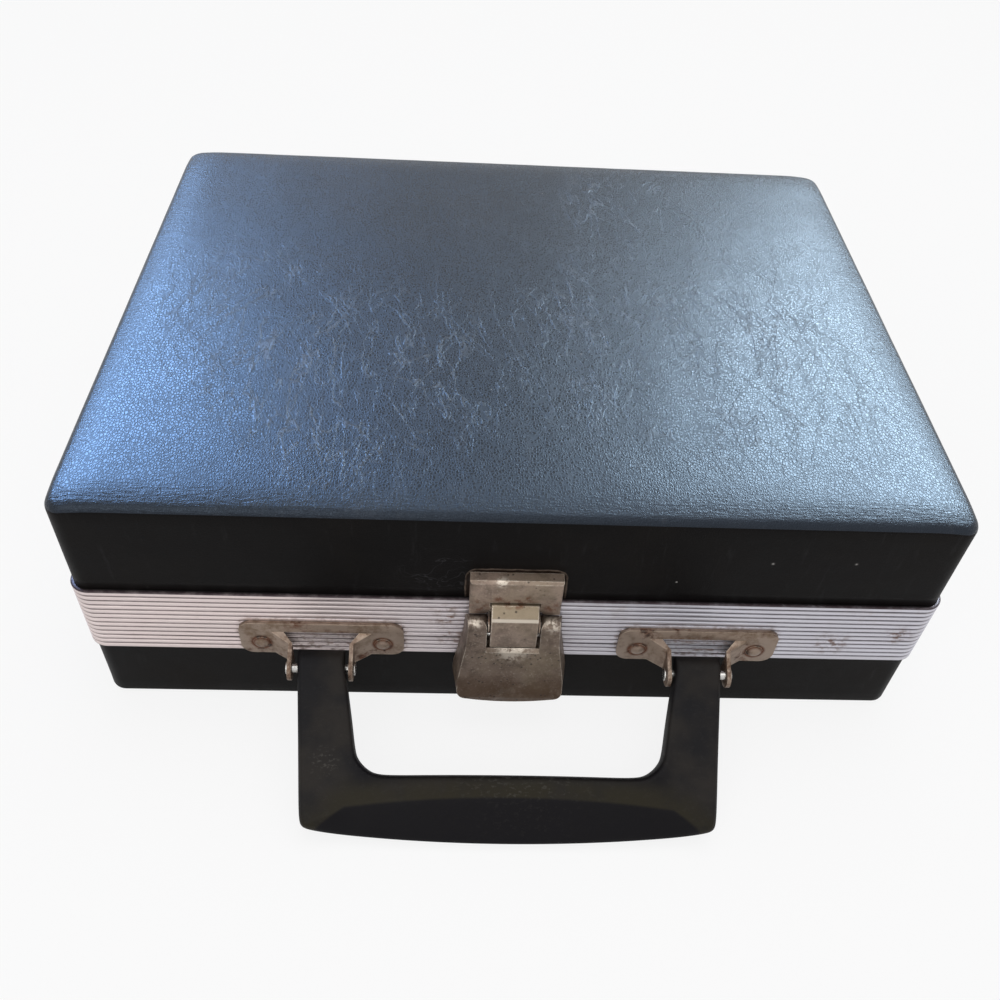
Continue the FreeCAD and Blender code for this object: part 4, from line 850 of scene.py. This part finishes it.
# moulded handle, drawn flat and then turned down onto its pins
handleSizes = {
    "strapOut": 76.2 * mm, "strapIn": 58.8 * mm, "cornerX": 71.9 * mm, "cornerReach": 54.8 * mm,
    "reach": 58.9 * mm, "holeIn": 52.3 * mm, "holeReach": 36.6 * mm, "holeBow": 0.8 * mm,
    "holeCorner": 12.0 * mm, "outerCorner": 4.5 * mm, "pastPin": 6.5 * mm, "strapHalf": 4.6 * mm,
    "gripTop": 6.5 * mm, "gripUnder": 6.0 * mm, "crownDrop": 1.4 * mm, "outerUnder": 2.9 * mm,
    "facetSlope": 0.40, "tiltDeg": 30.3,
    "ridge": ((0.0, 43.6), (20.0, 44.0), (40.0, 45.1), (56.5, 46.6), (71.4, 55.4)),
    # turns round the inner and outer corner in degrees, and heights up the strap in mm, each with its grip share
    "cornerTurns": ((14, None, 0.97), (30, None, 0.90), (45, 20, 0.8), (58, 45, 0.7), (70, 70, 0.55)),
    "strapSteps": ((19, 42, 0.32), (12, 28, 0.12), (5, 14, 0.0), (1.5, 5, 0.0), (-1.9, -1.9, 0.0)),
}


def outerReach(x):
    size = handleSizes
    return size["reach"] - (size["reach"] - size["cornerReach"]) * (x / size["cornerX"]) ** 2


def handleStations():
    size = handleSizes
    stations = []  # inner point, outer point, how much it is grip rather than strap
    for share in (0.0, 0.2, 0.4, 0.57, 0.70):
        x = share * size["holeIn"]
        inner = Vector((x, size["holeReach"] - size["holeBow"] * (1 - share ** 2), 0))
        outX = x * 1.16
        stations.append((inner, Vector((outX, outerReach(outX), 0)), 1.0))
    corner = size["holeCorner"]
    slope = math.atan2(size["strapIn"] - size["holeIn"], size["holeReach"])
    centre = Vector((size["holeIn"] - corner * 0.80, size["holeReach"] - corner, 0))
    outer = size["outerCorner"]
    outerCentre = Vector((size["cornerX"] - outer * 0.9, size["cornerReach"] - outer, 0))
    for turn, outerTurn, grip in size["cornerTurns"]:
        a = math.radians(turn)
        inner = centre + Vector((math.sin(a), math.cos(a), 0)) * corner
        if outerTurn is None:
            x = 52 * mm if turn < 20 else 61 * mm
            outer = Vector((x, outerReach(x), 0))
        else:
            b = math.radians(outerTurn)
            outer = outerCentre + Vector((math.sin(b), math.cos(b), 0)) * size["outerCorner"]
        stations.append((inner, outer, grip))
    for innerY, outerY, grip in size["strapSteps"]:
        inner = Vector((size["strapIn"] - math.tan(slope) * innerY * mm, innerY * mm, 0))
        edgeSlope = (size["strapOut"] - size["cornerX"]) / (size["cornerReach"] + size["pastPin"])
        outer = Vector((size["strapOut"] - edgeSlope * (outerY * mm + size["pastPin"]), outerY * mm, 0))
        stations.append((inner, outer, grip))
    return stations


def ridgeShare(inner, outer, fallback):
    # where the section crosses the ridge line, as a share of its width
    points = [Vector((x * mm, y * mm)) for x, y in handleSizes["ridge"]]
    points.insert(0, Vector((-points[1].x, points[1].y)))
    for first, second in zip(points, points[1:]):
        met = geometry.intersect_line_line_2d(inner.to_2d(), outer.to_2d(), first, second)
        if met is not None:
            return min(fallback, (met - inner.to_2d()).length / (outer - inner).length)
    return fallback


def handleSection(inner, outer, grip, squeeze=1.0):
    # fifteen points round one section: share of the width, height
    size = handleSizes
    width = (outer - inner).length
    strap, under = size["strapHalf"], size["gripUnder"]
    top = size["gripTop"] - size["crownDrop"] * (outer.x / size["cornerX"]) ** 2

    def mix(a, b):
        return (a * (1 - grip) + b * grip) * squeeze

    soft = 1.5 * mm / width
    near = 0.7 * mm / width
    crown = mix(strap, top)
    ridge = ridgeShare(inner, outer, 1 - soft - 2.2 * near)
    full = min(0.25 * (1 - grip) + 0.17 * grip, ridge - 2.5 * near)
    facet = (1 - soft - ridge) * width
    outerTop = max(0.8 * mm, crown - size["facetSlope"] * facet * (1 if grip else 0))
    outerUnder = mix(strap, size["outerUnder"])
    side = min(1.5 * mm, 0.4 * (outerTop + outerUnder)) * squeeze
    return [
        (0.0, mix(strap - 1.5 * mm, 3.4 * mm)), (soft * 0.4, mix(strap - 0.4 * mm, 5.2 * mm)),
        (soft * 1.3, mix(strap, 6.0 * mm)), (full, crown), (ridge - near, crown),
        (ridge + near, crown - size["facetSlope"] * near * width * grip),
        (1 - soft, outerTop), (1.0, outerTop - side), (1.0, side - outerUnder),
        (1 - soft, -outerUnder), (max(ridge, 0.5), -mix(strap, under)), (0.35, -mix(strap, under)),
        (soft * 2.2, -mix(strap, 5.8 * mm)), (soft * 0.9, -mix(strap - 0.2 * mm, 5.2 * mm)),
        (0.0, -mix(strap - 1.5 * mm, 2.8 * mm)),
    ]


def makeHandle():
    size = handleSizes
    shape = bmesh.new()
    rings = []
    sections = [(inner, outer, grip, 1.0) for inner, outer, grip in handleStations()]
    inner, outer = sections[-1][:2]
    for turn in (22, 45, 66, 84):
        a = math.radians(turn)
        drop = Vector((0, -math.sin(a) * size["strapHalf"], 0))
        sections.append((inner + drop, outer + drop, 0.0, math.cos(a)))
    for inner, outer, grip, squeeze in sections:
        points = handleSection(inner, outer, grip, squeeze)
        ring = bmesh.ops.create_circle(shape, cap_ends=False, segments=len(points), radius=1.0)["verts"]
        for vert, (share, height) in zip(ring, points):
            vert.co = inner.lerp(outer, share) + Vector((0, 0, height))
        rings.append(ring)
    for first, second in zip(rings, rings[1:]):
        loops = [e for ring in (first, second) for v in ring for e in v.link_edges if e.other_vert(v) in ring]
        bmesh.ops.bridge_loops(shape, edges=list(set(loops)))
    bmesh.ops.contextual_create(shape, geom=rings[-1])
    whole = shape.verts[:] + shape.edges[:] + shape.faces[:]
    bmesh.ops.mirror(shape, geom=whole, axis="X", merge_dist=0.01 * mm)
    bmesh.ops.remove_doubles(shape, verts=shape.verts, dist=0.01 * mm)
    inside = [f for f in shape.faces if all(abs(v.co.x) < 0.01 * mm for v in f.verts)]
    bmesh.ops.delete(shape, geom=inside, context="FACES")
    bmesh.ops.recalc_face_normals(shape, faces=shape.faces)
    pivot = jointAt["handle_pivot"]
    tilt = Matrix.Rotation(math.radians(size["tiltDeg"]), 4, "X")
    turned = Matrix.Translation(pivot) @ tilt @ Matrix.Rotation(math.pi, 4, "Z")
    bmesh.ops.transform(shape, matrix=turned, verts=shape.verts)
    piece = finishPiece(shape, "handleGrip", handlePlastic, "handle_grip")
    smoothing = piece.modifiers.new("smoothing", "SUBSURF")
    smoothing.levels = smoothing.render_levels = 3


makeHandle()
print("handle made")

# floor, light and camera
stageLook = {
    "floorWhite": (0.84, 0.84, 0.85, 1), "floorHalf": 6.0, "glow": 0.85, "glossGlow": 0.5,
    "worldStrength": 0.42,
}


def makeFloor():
    shape = bmesh.new()
    bmesh.ops.create_grid(shape, x_segments=1, y_segments=1, size=stageLook["floorHalf"])
    mesh = bpy.data.meshes.new("floor")
    shape.to_mesh(mesh)
    shape.free()
    floor = bpy.data.objects.new("floor", mesh)
    floor.location.z = min(0.0, cadBounds[0].z) - 0.1 * mm
    bpy.context.scene.collection.objects.link(floor)
    made, tree, shader = startMaterial("paleFloor", stageLook["floorWhite"], 0.9, 0.0, 0.1)[:3]
    glow = addNode(tree, "ShaderNodeEmission", {"Color": (1, 1, 1, 1), "Strength": 1.0})
    rays = addNode(tree, "ShaderNodeLightPath").outputs
    seen = larger(tree, rays["Is Camera Ray"], rays["Is Transmission Ray"])
    share = times(tree, seen, stageLook["glow"])
    share = larger(tree, share, times(tree, rays["Is Glossy Ray"], stageLook["glossGlow"]))
    mix = addNode(tree, "ShaderNodeMixShader", {0: share, 1: shader.outputs[0], 2: glow.outputs[0]})
    tree.links.new(mix.outputs[0], tree.nodes["Material Output"].inputs["Surface"])
    mesh.materials.append(made)


def makeWorld():
    world = bpy.data.worlds.new("studio")
    bpy.context.scene.world = world
    world.use_nodes = True
    tree = world.node_tree
    ground = tree.nodes["Background"]
    rays = addNode(tree, "ShaderNodeLightPath").outputs
    seen = larger(tree, larger(tree, rays["Is Camera Ray"], rays["Is Glossy Ray"]), rays["Is Transmission Ray"])
    dim = stageLook["worldStrength"]
    strength = plus(tree, times(tree, seen, 1.0 - dim), dim)
    ground.inputs["Color"].default_value = (1, 1, 1, 1)
    tree.links.new(strength, ground.inputs["Strength"])


def makeLamp(name, place, aim, size, power, color=(1, 1, 1), onlyGloss=False):
    lamp = bpy.data.lights.new(name, "AREA")
    lamp.shape = "RECTANGLE"
    lamp.size, lamp.size_y = size
    lamp.energy = power
    lamp.color = color
    made = bpy.data.objects.new(name, lamp)
    made.location = place
    made.rotation_euler = (Vector(aim) - Vector(place)).to_track_quat("-Z", "Y").to_euler()
    made.visible_diffuse = not onlyGloss
    bpy.context.scene.collection.objects.link(made)


makeFloor()
makeWorld()
# the windows make the two soft reflections on the lid and light nothing else
makeLamp("leftWindow", (-0.91, 1.00, 1.12), (0, 0, 0.1), (0.98, 0.50), 50, (0.36, 0.60, 1.0), True)
makeLamp("rightWindow", (0.92, 1.02, 1.10), (0, 0, 0.1), (1.04, 0.50), 47, (0.72, 0.89, 1.0), True)
makeLamp("frontFill", (-0.6, -1.4, 1.1), (0, 0, 0.05), (1.2, 1.0), 8)
makeLamp("overhead", (0.2, 0.2, 1.6), (0, 0, 0.05), (1.4, 1.4), 10)

cameraPlace = {"position": (-0.0222, -0.3323, 0.3294), "forward": (0.04736, 0.69777, -0.71476),
               "right": (0.99855, -0.01476, 0.05176), "lens": 35.65}


def makeCamera():
    lens = bpy.data.cameras.new("photoCamera")
    lens.lens = cameraPlace["lens"]
    lens.sensor_width = 36.0
    lens.sensor_fit = "HORIZONTAL"
    lens.clip_start = 0.01
    camera = bpy.data.objects.new("photoCamera", lens)
    forward = Vector(cameraPlace["forward"]).normalized()
    right = Vector(cameraPlace["right"]).normalized()
    up = right.cross(forward).normalized()
    turn = Matrix((right, up, -forward)).transposed()
    camera.matrix_world = Matrix.Translation(cameraPlace["position"]) @ turn.to_4x4()
    bpy.context.scene.collection.objects.link(camera)
    bpy.context.scene.camera = camera


makeCamera()
bpy.context.scene.view_settings.view_transform = "Standard"
print("stage set")

bpy.context.view_layer.update()
